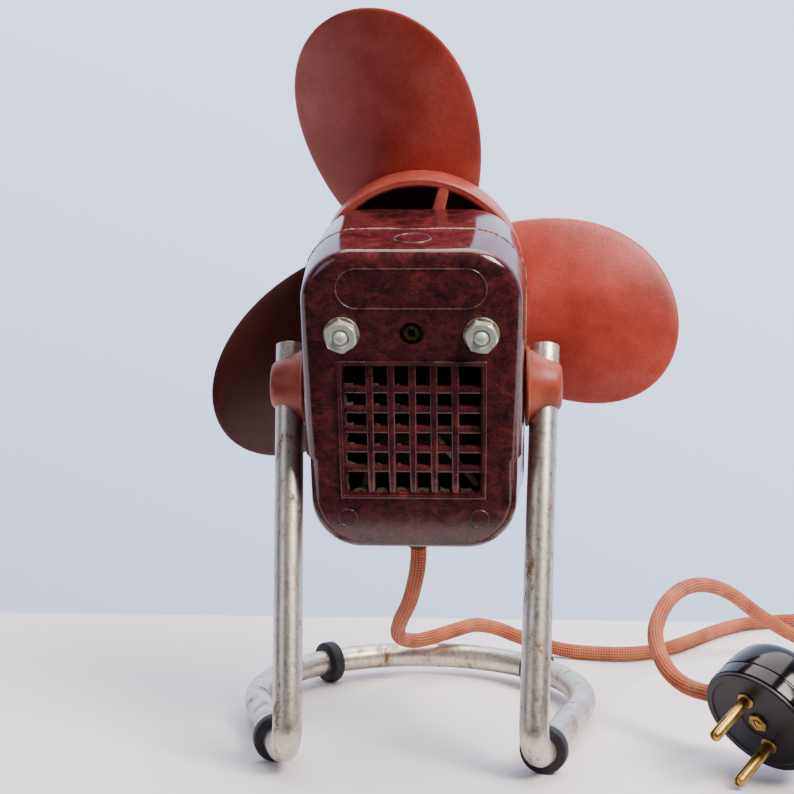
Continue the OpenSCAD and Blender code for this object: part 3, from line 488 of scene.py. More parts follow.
# %% Plain stuffs
def plain(name, dark, light, roughness, grain_mm, depth_mm, ior=1.5):
    """A simple finish of two tones with a fine grain."""
    finish, tree, shader, place = new_finish(name, Roughness=roughness, IOR=ior)
    fuzz = add(tree, "TexNoise", {"Scale": grain(grain_mm), "Detail": 5.0}, {"Vector": place})
    tone = add(tree, "ValToRGB", None, {"Fac": fuzz.outputs["Fac"]},
               [(0.3, dark), (0.7, light)])
    tree.links.new(tone.outputs[0], shader.inputs["Base Color"])
    link_height(tree, shader, fuzz.outputs["Fac"], depth_mm, 0.6)
    return finish


seal_fibre = plain("cork_seal", "5a4634", "b79c7c", 0.9, 1.0, 0.15)
felt = plain("oiled_felt", "8d8468", "b8ad90", 0.95, 0.8, 0.2)
lint_fluff = plain("grey_lint", "3a2c24", "6e5846", 0.95, 0.5, 0.3)
sleeving = plain("varnished_sleeving", "b7a25c", "e0d196", 0.35, 0.8, 0.05)
winding_tape = plain("varnished_tape", "1f130c", "3a2415", 0.4, 2.5, 0.12)
bobbin_board = plain("pressed_board", "0f0c0b", "1a1512", 0.75, 1.2, 0.05)
fibre = plain("red_fibre", "54321f", "74502f", 0.7, 0.9, 0.05)
terminal_moulding = plain("brown_moulding", "241814", "3b2a24", 0.35, 2.0, 0.02)
tie_tape = plain("cotton_tape", "6b6459", "958c7e", 0.9, 0.7, 0.12)
plug_black = plain("black_bakelite", "030204", "070609", 0.12, 5.0, 0.01, 1.36)
plug_face = plain("black_bakelite_matt", "0e0c10", "1b171a", 0.4, 1.5, 0.03, 1.36)
print("finishes:", len(bpy.data.materials))

# %% [markdown]
# ## Parts kept from the frame
# What lies inside the housing is right as it is, and gets its finish only.

# %% Finishes for the parts inside
INSIDE = {
    "stud_inserts": brass, "stud_sleeves": steel, "stator_core": iron,
    "shading_rings": copper, "coil_bobbin": bobbin_board, "coil_winding": winding_tape,
    "coil_leads": sleeving, "rear_bracket": steel, "front_bracket": steel,
    "rear_bearing": bronze, "front_bearing": bronze, "bearing_felts": felt, "rotor": iron,
    "rotor_end_rings": aluminium, "motor_shaft": steel, "thrust_washers": fibre,
    "impeller_bush": brass, "terminal_block": terminal_moulding, "terminal_screws": brass,
    "supply_leads": sleeving, "oil_tube": brass_dark,
}
for name, finish in INSIDE.items():
    nodes[name].data.materials.clear()
    nodes[name].data.materials.append(finish)
print("finished inside:", len(INSIDE))

# %% [markdown]
# ## Modelling helpers
# Every new piece starts from a primitive and is shaped in edit mode. These helpers only
# choose what is selected, or close a piece off: its doubles are merged, its faces turned
# outwards and its place put into the mesh, so that the object stays at the origin.

# %% Selecting and finishing
def start(add_primitive, name, **settings):
    """Adds a primitive with nothing else selected, names it and opens edit mode."""
    if bpy.context.object and bpy.context.object.mode == "EDIT":
        bpy.ops.object.mode_set(mode="OBJECT")
    bpy.ops.object.select_all(action="DESELECT")
    add_primitive(**settings)
    piece = bpy.context.object
    piece.name = piece.data.name = name
    bpy.ops.object.transform_apply(location=True, rotation=True, scale=True)
    bpy.ops.object.mode_set(mode="EDIT")
    bpy.ops.mesh.select_all(action="SELECT")
    return piece


def pick(piece, kind, test):
    """Selects the faces, edges or verts that pass a test, and nothing else."""
    bpy.ops.mesh.select_mode(type={"faces": "FACE", "edges": "EDGE", "verts": "VERT"}[kind])
    bpy.ops.mesh.select_all(action="DESELECT")
    shape = bmesh.from_edit_mesh(piece.data)
    shape.normal_update()
    found = [part for part in getattr(shape, kind) if test(part)]
    for part in found:
        part.select_set(True)
    shape.select_flush_mode()
    bmesh.update_edit_mesh(piece.data)
    return len(found)


def middle(part):
    """The middle of a face or an edge."""
    return sum((v.co for v in part.verts), Vector()) / len(part.verts)


def only(piece):
    """Leaves edit mode and makes this the only object selected."""
    if bpy.context.object and bpy.context.object.mode == "EDIT":
        bpy.ops.object.mode_set(mode="OBJECT")
    bpy.ops.object.select_all(action="DESELECT")
    piece.select_set(True)
    bpy.context.view_layer.objects.active = piece


def tidy_faces(piece):
    """Merges doubles and turns every face outwards."""
    only(piece)
    bpy.ops.object.mode_set(mode="EDIT")
    bpy.ops.mesh.select_all(action="SELECT")
    bpy.ops.mesh.remove_doubles(threshold=0.00001)
    bpy.ops.mesh.normals_make_consistent(inside=False)
    bpy.ops.object.mode_set(mode="OBJECT")


def modify(piece, kind, **settings):
    """Adds a modifier and applies it."""
    only(piece)
    step = piece.modifiers.new(kind.title(), kind)
    for key, value in settings.items():
        setattr(step, key, value)
    bpy.ops.object.modifier_apply(modifier=step.name)


def cut(piece, *tools, operation="DIFFERENCE"):
    """Cuts pieces out of another, or joins them to it, and deletes them."""
    for tool in tools:
        modify(piece, "BOOLEAN", object=tool, operation=operation, solver="EXACT")
        bpy.data.objects.remove(tool)


def smooth(piece, degrees=35):
    """Shades a piece smooth, except across edges sharper than an angle."""
    only(piece)
    bpy.ops.object.shade_smooth_by_angle(angle=math.radians(degrees))


def put(piece, matrix):
    """Moves a piece's mesh by a matrix, which leaves its object at the origin."""
    only(piece)
    piece.data.transform(matrix)
    piece.data.update()


def copy_of(piece, name, matrix):
    """A copy with its own mesh, moved by a matrix."""
    twin = piece.copy()
    twin.data = piece.data.copy()
    twin.name = twin.data.name = name
    bpy.context.scene.collection.objects.link(twin)
    put(twin, matrix)
    return twin


def joined(name, *pieces):
    """Several pieces made one object."""
    only(pieces[0])
    for piece in pieces:
        piece.select_set(True)
    bpy.ops.object.join()
    pieces[0].name = pieces[0].data.name = name
    return pieces[0]


def finished(piece, finish, body, slot, *replaced):
    """Gives a piece its finish and its body, and hides the frame parts it stands for. The slot is
    not used.
    """
    piece.data.materials.clear()
    piece.data.materials.append(finish)
    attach(piece, body)
    if replaced:
        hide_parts(*replaced)
    print(piece.name, "faces:", len(piece.data.polygons))


# %% [markdown]
# Round things are turned like work on a lathe: a circle is drawn at the first step of the
# profile, then pulled up and resized from step to step.

# %% Turning helper
def turned(name, profile, sides=48, closed=True):
    """A shape turned about +Z from (radius, height) steps in millimetres."""
    (r0, z0), *rest = profile
    piece = start(bpy.ops.mesh.primitive_circle_add, name, vertices=sides, radius=r0 * MM,
                  location=(0, 0, z0 * MM), fill_type="NGON" if closed else "NOTHING")
    if closed:
        pick(piece, "edges", lambda e: True)
    radius, height = r0, z0
    for r, z in rest:
        bpy.ops.mesh.extrude_edges_move(
            TRANSFORM_OT_translate={"value": (0, 0, (z - height) * MM)})
        bpy.ops.transform.resize(value=(r / radius, r / radius, 1),
                                 center_override=(0, 0, z * MM))
        radius, height = r, z
    if closed:
        bpy.ops.mesh.edge_face_add()
    only(piece)
    tidy_faces(piece)
    return piece


TO_BACK = Matrix.Rotation(math.radians(90), 4, "X")     # +Z turned to point at -Y
TO_FRONT = Matrix.Rotation(math.radians(-90), 4, "X")   # +Z turned to point at +Y
TO_RIGHT = Matrix.Rotation(math.radians(90), 4, "Y")    # +Z turned to point at +X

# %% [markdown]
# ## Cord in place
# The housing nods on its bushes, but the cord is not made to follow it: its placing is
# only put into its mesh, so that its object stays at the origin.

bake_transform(cord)

# %% [markdown]
# ## Stand tube
# One length of tube, bent: down a leg, forward along the floor, round the loop and back
# up. A circle of vertices is pulled from end to end along that line: straight runs are
# extruded and bends are spun, which keeps the tube round all the way.

# %% Stand line
TUBE_R = 5 * MM
FOOT = mm(40.8, -45, 7.85)
AXLE = mm(45.1, 0, 128.5)
LOOP_CENTRE = mm(0, 32, 7.85)
LOOP_R = 61.5 * MM
FOOT_BEND = 8 * MM
FLIP = Matrix.Diagonal((-1, 1, 1, 1))
leg_dir = (AXLE - FOOT).normalized()
leg_top = AXLE + leg_dir * 15 * MM
flat = FOOT - LOOP_CENTRE
touch_angle = math.atan2(flat.y, flat.x) + math.acos(LOOP_R / flat.length)
touch = LOOP_CENTRE + Vector((math.cos(touch_angle), math.sin(touch_angle), 0)) * LOOP_R
run_dir = (touch - FOOT).normalized()
bend_half = leg_dir.angle(run_dir) / 2
bend_tangent = FOOT_BEND / math.tan(bend_half)
bend_centre = FOOT + (leg_dir + run_dir).normalized() * FOOT_BEND / math.sin(bend_half)
bend_start, bend_end = FOOT + leg_dir * bend_tangent, FOOT + run_dir * bend_tangent
bend_axis = run_dir.cross(leg_dir)
bend_turn = math.pi - 2 * bend_half

# %% Pull the circle along it
def pull(offset, steps):
    """Extrudes the open end by an offset, in equal steps."""
    for _ in range(steps):
        bpy.ops.mesh.extrude_region_move(TRANSFORM_OT_translate={"value": offset / steps})


def bend(centre, axis, angle, steps):
    """Spins the open end round a centre, right-handed about the axis."""
    bpy.ops.mesh.spin(steps=steps, angle=-angle, center=centre, axis=axis)


tube = start(bpy.ops.mesh.primitive_circle_add, "stand_tube_bent", vertices=40, radius=TUBE_R,
             location=leg_top, rotation=leg_dir.to_track_quat("Z", "Y").to_euler())
pull(bend_start - leg_top, 10)
bend(bend_centre, bend_axis, bend_turn, 12)
pull(touch - bend_end, 3)
bend(LOOP_CENTRE, (0, 0, 1), math.pi - 2 * touch_angle, 72)
pull(FLIP @ bend_end - FLIP @ touch, 3)
bend(FLIP @ bend_centre, FLIP @ bend_axis, bend_turn, 12)
pull(FLIP @ leg_top - FLIP @ bend_start, 10)
end = bmesh.from_edit_mesh(tube.data)
reached = sum((v.co for v in end.verts if v.select), Vector()) / 40
print("tube end is off by", round((reached - FLIP @ leg_top).length / MM, 3), "mm")
tidy_faces(tube)
modify(tube, "SOLIDIFY", thickness=1 * MM, offset=-1, use_even_offset=True)
modify(tube, "BEVEL", width=0.2 * MM, segments=2, limit_method="ANGLE",
       angle_limit=math.radians(50))
smooth(tube, 40)
finished(tube, nickel, "stand", "nickel_tube", "stand_tube")

# %% [markdown]
# ## Floor rings
# Four rubber rings keep the tube off the table. Each is turned as a closed profile, pushed
# along the tube to its place, and worn flat where it stands.

# %% Rubber rings
ring = turned("ring_one", [(5.02, -2.5), (7.4, -2.5), (8.0, -2.2), (8.2, -1.6), (8.2, 1.6),
                           (8.0, 2.2), (7.4, 2.5), (5.02, 2.5), (5.02, -2.5)], 40, closed=False)
left_dir = FLIP @ run_dir
ring_places = [(bend_end + run_dir * 2.6 * MM, run_dir),
               (FLIP @ bend_end + left_dir * 10.6 * MM, left_dir)]
for degrees in (42, 130):
    a = math.radians(degrees)
    ring_places.append((LOOP_CENTRE + Vector((math.cos(a), math.sin(a), 0)) * LOOP_R,
                        Vector((-math.sin(a), math.cos(a), 0))))
rings = [copy_of(ring, "ring_copy", Matrix.Translation(at)
                 @ way.to_track_quat("Z", "Y").to_matrix().to_4x4()) for at, way in ring_places]
bpy.data.objects.remove(ring)
floor_rings = joined("floor_rings_rubber", *rings)
for vert in floor_rings.data.vertices:
    vert.co.z = max(vert.co.z, 0)
smooth(floor_rings, 40)
finished(floor_rings, ring_rubber, "stand", "floor_rubber", "foot_rings")

# %% [markdown]
# ## Bushes
# Each leg ends in a soft rubber bush, moulded with a thin lip against the housing and a
# shoulder over the tube. It is turned, and the tube's hole is cut through it. Inside the
# housing its neck ends in a flange, which is what carries the head.

# %% Right bush and its mirror image
right_bush = turned("right_bush_rubber", [
    (12.5, 30.85), (12.5, 34.0), (9, 34.0), (9, 38.5), (14.0, 38.5), (14.2, 38.8), (14.2, 39.4),
    (13.8, 39.7), (13.2, 39.9), (12.9, 40.4), (12.2, 41.6), (11.2, 43.2), (10.3, 45.1),
    (9.5, 47.3), (8.8, 49.2), (8.0, 50.6), (7.0, 51.2), (5.0, 51.4)], 56)
put(right_bush, Matrix.Translation((0, 0, AXIS_HEIGHT)) @ TO_RIGHT)


def rod(name, a, b, radius, sides=40):
    """A plain round tool between two points, for cutting holes."""
    way = b - a
    tool = start(bpy.ops.mesh.primitive_cylinder_add, name, vertices=sides, radius=radius,
                 depth=way.length, location=(a + b) / 2,
                 rotation=way.to_track_quat("Z", "Y").to_euler())
    only(tool)
    return tool


cut(right_bush, rod("bore", AXLE - leg_dir * 30 * MM, AXLE + leg_dir * 30 * MM, 5.02 * MM))
left_bush = copy_of(right_bush, "left_bush_rubber", FLIP)
for bush, node in ((right_bush, "right_trunnion_bush"), (left_bush, "left_trunnion_bush")):
    tidy_faces(bush)
    smooth(bush, 35)
    finished(bush, bush_rubber, "stand", "bush_rubber", node)

# %% [markdown]
# ## Housing
# Two deep trays of bakelite meet at a parting line over the trunnions. Each starts as a
# block with its open face deleted. Its corners and its end edge are bevelled round, then a
# wall is grown inwards, and the openings are cut.

# %% A tray with round corners
HALF_W, UP, DOWN = 38.2, 57.0, 50.5    # millimetres from the tilt axis
REAR, FRONT, WALL, DRAFT = -28.7, 31.6, 3.0, 1.5


def block(name, low, high):
    """A block between two corners in millimetres."""
    low, high = mm(*low), mm(*high)
    piece = start(bpy.ops.mesh.primitive_cube_add, name, size=1, location=(low + high) / 2,
                  scale=high - low)
    return piece


def tray(name, seam, end):
    """One shell: open at the seam, drafted in at the sides, with a rounded end."""
    piece = block(name, (-HALF_W, min(seam, end), -DOWN), (HALF_W, max(seam, end), UP))
    pick(piece, "faces", lambda f: abs(middle(f).y - end * MM) < 0.1 * MM)
    bpy.ops.transform.resize(value=((HALF_W - DRAFT) / HALF_W, 1, 1), center_override=(0, 0, 0))
    pick(piece, "faces", lambda f: abs(middle(f).y - seam * MM) < 0.1 * MM)
    bpy.ops.mesh.delete(type="FACE")
    pick(piece, "edges", lambda e: abs((e.verts[0].co - e.verts[1].co).y) > 5 * MM)
    bpy.ops.mesh.bevel(offset=18 * MM, segments=12, affect="EDGES")
    pick(piece, "edges", lambda e: all(abs(v.co.y - end * MM) < 0.1 * MM for v in e.verts))
    bpy.ops.mesh.bevel(offset=4 * MM, segments=6, affect="EDGES")
    tidy_faces(piece)
    return piece


rear = tray("rear_shell_moulded", -0.4, REAR)

# %% [markdown]
# Below the trunnions the rear shell narrows a little towards its end face, so that it
# clears the legs. A cut across at that height gives the facets an upper edge.

# %% Narrow the lower part of the rear shell
FACET_TOP = -17.0
only(rear)
bpy.ops.object.mode_set(mode="EDIT")
for height in (FACET_TOP, FACET_TOP + 1.5):
    bpy.ops.mesh.select_all(action="SELECT")
    bpy.ops.mesh.bisect(plane_co=mm(0, 0, height), plane_no=(0, 0, 1))
pick(rear, "verts", lambda v: v.co.z < (FACET_TOP + 0.5) * MM and v.co.y < -20 * MM)
bpy.ops.transform.resize(value=(0.965, 1, 1), center_override=(0, 0, 0))
only(rear)
modify(rear, "SOLIDIFY", thickness=WALL * MM, offset=-1, use_even_offset=True)

# %% [markdown]
# The vent, the peep hole and the holes for studs, bushes and cord are cut with plain tools.

# %% Openings in the rear shell
VENT_LOW, VENT_HIGH, VENT_HALF = -28.6, 17.4, 23.0
STUD_X = 23.15


def shaft_point(y, x=0.0, z=28.8):
    """A point given along the motor shaft's line."""
    return mm(x, y, z)


def shell_holes(y_end):
    """The tools that both shells share: bush necks, cord hole and stud holes."""
    tools = [rod("neck", mm(-60, 0, 0), mm(60, 0, 0), 9.05 * MM, 56),
             rod("cord_hole", mm(0, 0, -40), mm(0, 0, -60), 3.8 * MM)]
    return tools + [rod("stud_hole", shaft_point(y_end, x), shaft_point(0, x), 2.6 * MM)
                    for x in (-STUD_X, STUD_X)]


vent = block("vent_tool", (-VENT_HALF, REAR - 5, VENT_LOW), (VENT_HALF, REAR + 8, VENT_HIGH))
pick(vent, "edges", lambda e: abs((e.verts[0].co - e.verts[1].co).y) > 5 * MM)
bpy.ops.mesh.bevel(offset=1.2 * MM, segments=4, affect="EDGES")
only(vent)
cut(rear, vent, rod("peep", shaft_point(REAR - 3), shaft_point(REAR + 5), 4 * MM),
    *shell_holes(REAR - 5))
print("rear shell faces:", len(rear.data.polygons))

# %% [markdown]
# The vent's grid has five upright bars in front and five level ones behind, all rounded.
# One bar of each kind is modelled and copied at the pitch of the real grid. The rim round
# the vent is a thin frame, set on the face and rounded by wear.

# %% Vent grid and rim
PITCH = 7.2
upright = block("bar", (-1.4, REAR + 0.2, VENT_LOW - 0.6), (1.4, REAR + 2.6, VENT_HIGH + 0.6))
level_bar = block("bar", (-23.6, REAR + 0.45, -1.5), (23.6, REAR + 3.0, 1.5))
for bar in (upright, level_bar):
    modify(bar, "BEVEL", width=0.95 * MM, segments=4, limit_method="ANGLE")
bars = [copy_of(upright, "bar", Matrix.Translation(mm(i * PITCH, 0, 0))) for i in range(-2, 3)]
bars += [copy_of(level_bar, "bar", Matrix.Translation(mm(0, 0, -5.6 + i * PITCH)))
         for i in range(-2, 3)]
for bar in (upright, level_bar):
    bpy.data.objects.remove(bar)


def frame_of(name, low, high, width, y, thick):
    """A flat frame between two corners, standing on the plane y."""
    piece = block(name, (low[0], y - thick, low[1]), (high[0], y, high[1]))
    pick(piece, "faces", lambda f: abs(f.normal.y) > 0.9)
    bpy.ops.mesh.inset(thickness=width * MM)
    bpy.ops.mesh.bridge_edge_loops()
    tidy_faces(piece)
    return piece


rim = frame_of("rim", (-25, VENT_LOW - 2), (25, VENT_HIGH + 2), 1.3, REAR + 0.4, 1.2)
modify(rim, "BEVEL", width=0.4 * MM, segments=3, limit_method="ANGLE")

# %% [markdown]
# The nameplate is left blank: only its raised outline is there. It is a thin torus pulled
# apart in the middle. The moulding marks are the same kind of line.

# %% Raised lines
def raised_line(name, radius, at, turn=True, stretch=0.0, thick=0.28):
    """A thin round line on the housing, pulled apart sideways by a stretch."""
    line = start(bpy.ops.mesh.primitive_torus_add, name, major_radius=radius * MM,
                 minor_radius=thick * MM, major_segments=64, minor_segments=10, location=at,
                 rotation=(math.radians(90), 0, 0) if turn else (0, 0, 0))
    for side in (-1, 1):
        pick(line, "verts", lambda v: v.co.x * side > 0.01 * MM)
        bpy.ops.transform.translate(value=(side * stretch * MM, 0, 0))
    only(line)
    return line


marks = [raised_line("plate", 6.8, mm(0, REAR, 44.3), stretch=18.0, thick=0.26),
         raised_line("top_mark", 6.1, mm(0, -12.3, UP), turn=False)]
marks += [raised_line("low_mark", 3.2, mm(x, REAR, -38.2), thick=0.2) for x in (-22.8, 22.8)]
# Two pale strips on the rim's top edge: rubbed wear, with a painted highlight along the top.
for x0, x1 in ((-24.4, -15.5), (7.5, 24.4)):
    rim_edge_highlight_and_wear = block("rim_edge_highlight_and_wear", (x0, REAR - 0.95, VENT_HIGH + 1.6), (x1, REAR - 0.5,
                                                                     VENT_HIGH + 2.15))
    modify(rim_edge_highlight_and_wear, "BEVEL", width=0.18 * MM, segments=2, limit_method="ANGLE")
    marks.append(rim_edge_highlight_and_wear)
# The raised lines and the strips are one piece in the paler copy, a painted highlight.
marks = joined("raised_marks_highlight_and_wear", *marks)
put(marks, HEAD)
smooth(marks, 50)
finished(marks, bakelite_highlight_and_wear, "head", "bakelite")
rear = joined("rear_shell_moulded", rear, rim, *bars)
put(rear, HEAD)
smooth(rear, 35)
finished(rear, bakelite, "head", "bakelite", "rear_shell")

# %% [markdown]
# Years of lint have caught in the grid: a rough strip down the left wall of the vent, and
# a little heap on each level bar beside it. Each is a subdivided block, pushed about by
# noise so that no edge is straight.

# %% Lint in the vent
def lint(low, high, cuts, seed):
    """A rough scrap of lint between two corners."""
    piece = block("lint", low, high)
    bpy.ops.mesh.subdivide(number_cuts=cuts)
    only(piece)
    for vert in piece.data.vertices:
        push = noise.noise_vector(vert.co / (1.6 * MM) + Vector((seed, 0, 0)))
        vert.co += Vector((push.x * 0.9, push.y * 0.5, push.z * 0.7)) * MM
    return piece


scraps = [lint((-23.3, REAR + 1.2, VENT_LOW + 0.6), (-22.4, REAR + 2.6, 9), 14, 0)]
for i in range(-2, 3):
    foot = -5.6 + i * PITCH + 1.5
    for x, wide, tall in ((-22.6, 2.6, 0.5), (-12.6, 1.4, 0.3), (-5.4, 1.1, 0.2)):
        scraps.append(lint((x, REAR + 1.0, foot - 0.5), (x + wide, REAR + 2.8, foot + tall), 6,
                           i + x))
for i in range(-3, 3):
    scraps.append(lint((i * PITCH + 1.6, REAR + 0.9, VENT_LOW - 0.4),
                       (i * PITCH + 5.4, REAR + 2.8, VENT_LOW + 0.9), 6, i))
lint_piece = joined("vent_lint", *scraps)
put(lint_piece, HEAD)
finished(lint_piece, lint_fluff, "head", "felt")

# %% [markdown]
# The front shell has no vent grid. The air from the impeller's middle is drawn through
# ten slots round the shaft, with a low boss inside them.

# %% Front shell
front = tray("front_shell_moulded", 0.75, FRONT)
modify(front, "SOLIDIFY", thickness=WALL * MM, offset=-1, use_even_offset=True)
slot = block("slot", (-1.6, FRONT - 8, 14), (1.6, FRONT + 2, 25))
pick(slot, "edges", lambda e: abs((e.verts[0].co - e.verts[1].co).y) > 5 * MM)
bpy.ops.mesh.bevel(offset=1.5 * MM, segments=4, affect="EDGES")
only(slot)
slots = [copy_of(slot, "slot", Matrix.Translation(mm(0, 0, 28.8))
                 @ Matrix.Rotation(math.radians(18 + 36 * i), 4, "Y")) for i in range(10)]
bpy.data.objects.remove(slot)
cut(front, joined("slots", *slots), rod("bore", shaft_point(FRONT - 9), shaft_point(FRONT + 3),
                                       7 * MM), *shell_holes(FRONT - 8))
boss = turned("boss", [(7.0, -1), (7.0, 0.5), (7.6, 0.9), (10.4, 0.9), (11.2, 0.4), (11.4, -0.3),
                       (11.4, -1), (7.0, -1)], 56, closed=False)
put(boss, Matrix.Translation(mm(0, FRONT, 28.8)) @ TO_FRONT)
front = joined("front_shell_moulded", front, boss)
put(front, HEAD)
smooth(front, 35)
finished(front, bakelite, "head", "bakelite", "front_shell")

# %% [markdown]
# ## Seal
# A strip of cork fibre lies between the shells. Only its edge shows, a little uneven where
# it was trimmed, so its outer edge is moved in and out by a few hundredths.

# %% Seal between the shells
seal = block("seal_cork", (-HALF_W - 0.25, -0.42, -DOWN - 0.2), (HALF_W + 0.25, 0.42, UP + 0.25))
pick(seal, "faces", lambda f: abs(f.normal.y) > 0.9)
bpy.ops.mesh.delete(type="FACE")
pick(seal, "edges", lambda e: abs((e.verts[0].co - e.verts[1].co).y) > 0.5 * MM)
bpy.ops.mesh.bevel(offset=18.2 * MM, segments=12, affect="EDGES")
pick(seal, "edges", lambda e: abs((e.verts[0].co - e.verts[1].co).y) < 0.1 * MM)
bpy.ops.mesh.subdivide(number_cuts=6)
tidy_faces(seal)
modify(seal, "SOLIDIFY", thickness=2.8 * MM, offset=-1)
for vert in seal.data.vertices:
    vert.co.x *= 1 + random.uniform(-0.006, 0.003)
    vert.co.y += random.uniform(-0.1, 0.1) * MM
    vert.co.z *= 1 + random.uniform(-0.005, 0.002)
cut(seal, rod("neck", mm(-60, 0, 0), mm(60, 0, 0), 9.05 * MM, 56),
    rod("cord_hole", mm(0, 0, -40), mm(0, 0, -60), 3.8 * MM))
put(seal, HEAD)
finished(seal, seal_fibre, "head", "seal_fibre", "shell_seal")

# %% [markdown]
# ## Studs, washers and nuts
# Two long studs clamp the shells. The nuts are chamfered by a cone, as on a lathe, and
# the stud's end is domed with a few turns of thread showing. No two are set quite alike.

# %% Clamping hardware
thread = [(2.45, 0.0)]
for k in range(9):
    thread += [(2.45, 1.0 + k * 0.7), (2.2, 1.35 + k * 0.7)]
thread += [(2.45, 7.6), (2.3, 8.0), (1.9, 8.4), (1.7, 9.0), (1.2, 9.35), (0.5, 9.45)]
stud = turned("stud", [(2.5, -54.0), (2.5, -0.1)] + thread, 32)
nut = turned("nut", [(5.3, 0), (5.54, 0.25), (5.54, 3.75), (5.54, 4.2)], 6)
cone = turned("cone", [(5.05, -0.2), (5.7, 0.5), (5.7, 3.3), (4.7, 4.4)], 48)
cut(nut, cone, operation="INTERSECT")
cut(nut, rod("bore", mm(0, 0, -2), mm(0, 0, 8), 2.5 * MM))
cut(nut, turned("sink", [(2.4, 3.3), (3.5, 4.4)], 40))
washer = turned("washer", [(2.6, 0), (5.8, 0), (6.0, 0.2), (6.0, 0.6), (5.8, 0.8), (2.6, 0.8),
                           (2.6, 0)], 48, closed=False)
studs, nuts, washers = [], [], []
for x, turn in ((-STUD_X, 8), (STUD_X, 21)):
    face = Matrix.Translation(shaft_point(REAR, x)) @ TO_BACK @ Matrix.Rotation(
        math.radians(turn), 4, "Z")
    washers.append(copy_of(washer, "washer", HEAD @ face))
    nuts.append(copy_of(nut, "nut", HEAD @ face @ Matrix.Translation(mm(0, 0, 0.8))))
    studs.append(copy_of(stud, "stud", HEAD @ face @ Matrix.Translation(mm(0, 0, -3.05))))
for part in (stud, nut, washer):
    bpy.data.objects.remove(part)
for name, parts, finish, slot_name, node in (
        ("studs_threaded", studs, zinc, "zinc_steel", "clamp_studs"),
        ("nuts_chamfered", nuts, zinc, "zinc_steel", "clamp_nuts"),
        ("washers_flat", washers, zinc_rusty, "zinc_steel", "clamp_washers")):
    piece = joined(name, *parts)
    smooth(piece, 30)
    finished(piece, finish, "head", slot_name, node)

# %% [markdown]
# ## Cord sleeve
# A rubber sleeve holds the cord in the bottom of the housing. Outside it is a short tapered
# relief with two shallow rings, which lets the cord bend without a kink.

# %% Sleeve
sleeve = turned("cord_sleeve", [
    (4.0, -62.4), (3.98, -62.0), (4.3, -58.6), (4.1, -58.2), (4.1, -57.8), (4.45, -57.4),
    (4.55, -55.2), (4.3, -54.8), (4.3, -54.4), (4.7, -54.0), (4.9, -52.4), (5.4, -52.1),
    (5.4, -50.5), (3.8, -50.5), (3.8, -47.5), (5.4, -47.5), (4.6, -42.5)], 36)
put(sleeve, HEAD)
smooth(sleeve, 40)
finished(sleeve, sleeve_rubber, "head", "grommet_rubber", "cord_grommet")

# %% [markdown]
# ## Impeller
# Three soft rubber blades are moulded in one with a hoop, and three flat spokes carry the
# hoop on its hub, with a thin web across its front. A blade starts as a thick disc turned
# in rings. Each of its points then moves to its place by a formula: an egg outline, a lean
# like a propeller's, a slight cup.

# %% One blade
SHAFT_UP = 28.8
WHEEL = 33.4                              # where the impeller starts along the shaft
REACH = 99.0
BLADE_HALF_WIDTH = 32.6
BLADE_SHIFT = 5.5                         # how far a blade's middle lies to one side
BLADE_EGG = 0.17                          # how much wider a blade is towards its tip
BLADE_THICKNESS = 3.0
rim_steps = [(97.5, 1.0), (99.2, 0.8), (100, 0.35), (100, -0.35), (99.2, -0.8), (97.5, -1.0)]
flat_steps = [4, 12, 22, 32, 42, 52, 62, 71, 79, 86, 92]
profile = [(r, 1.0) for r in flat_steps] + rim_steps + [(r, -1.0) for r in reversed(flat_steps)]
blade = turned("blade", profile, 84)
for vert in blade.data.vertices:
    side, a = vert.co.z / MM, math.atan2(vert.co.y, vert.co.x)
    k = math.hypot(vert.co.x, vert.co.y) / (100 * MM)
    u = BLADE_SHIFT + k * BLADE_HALF_WIDTH * math.cos(a) * (1 + BLADE_EGG * math.sin(a))
    v = REACH / 2 + 0.4 + k * REACH / 2 * math.sin(a)
    thick = BLADE_THICKNESS * (1 - 0.45 * k * k)
    wave = 0.35 * noise.noise(Vector((u, v, 3)) / 26) * k
    y = (WHEEL + 16.6 - (0.35 + 0.0045 * (v - 60)) * u + 0.0075 * u * u - 0.1 * (v - 38.4)
         + side * thick / 2 + wave)
    vert.co = mm(u, y, v)
tidy_faces(blade)
cut(blade, rod("root", mm(0, WHEEL - 40, 0), mm(0, WHEEL + 60, 0), 36.6 * MM, 96))

# %% [markdown]
# The hoop, hub and spokes are plain mouldings with round edges. The blades are copies of
# the first one, turned a third of a turn each.

# %% Hoop, hub and spokes
hoop = turned("hoop", [(35.0, 0.8), (35.8, 0.1), (37.6, 0.1), (38.3, 0.7), (38.4, 1.6),
                       (38.4, 13.4), (38.2, 14.4), (37.5, 15.0), (35.9, 15.0), (35.1, 14.3),
                       (35.0, 13.4), (35.0, 0.8)], 96, closed=False)
hub = turned("hub", [(5.0, 0.0), (9.4, 0.0), (10.0, 0.6), (10.0, 13.2), (9.2, 14.0), (5.0, 14.0),
                     (5.0, 0.0)], 48, closed=False)
for piece in (hoop, hub):
    put(piece, Matrix.Translation(mm(0, WHEEL, 0)) @ TO_FRONT)
web = turned("web", [(9.5, 10.6), (20, 11.4), (35.6, 10.6), (35.6, 12.1), (20, 12.9),
                     (9.5, 12.1), (9.5, 10.6)], 96, closed=False)
put(web, Matrix.Translation(mm(0, WHEEL, 0)) @ TO_FRONT)
spoke = block("spoke", (-2, WHEEL + 0.1, 8.5), (2, WHEEL + 6, 36.2))
pick(spoke, "faces", lambda f: f.normal.z < -0.9)
bpy.ops.transform.resize(value=(1.45, 1.3, 1), center_override=mm(0, WHEEL + 3, 8.5))
modify(spoke, "BEVEL", width=0.9 * MM, segments=3, limit_method="ANGLE")
spokes = [copy_of(spoke, "spoke", Matrix.Rotation(math.radians(15 + 120 * i), 4, "Y"))
          for i in range(3)]
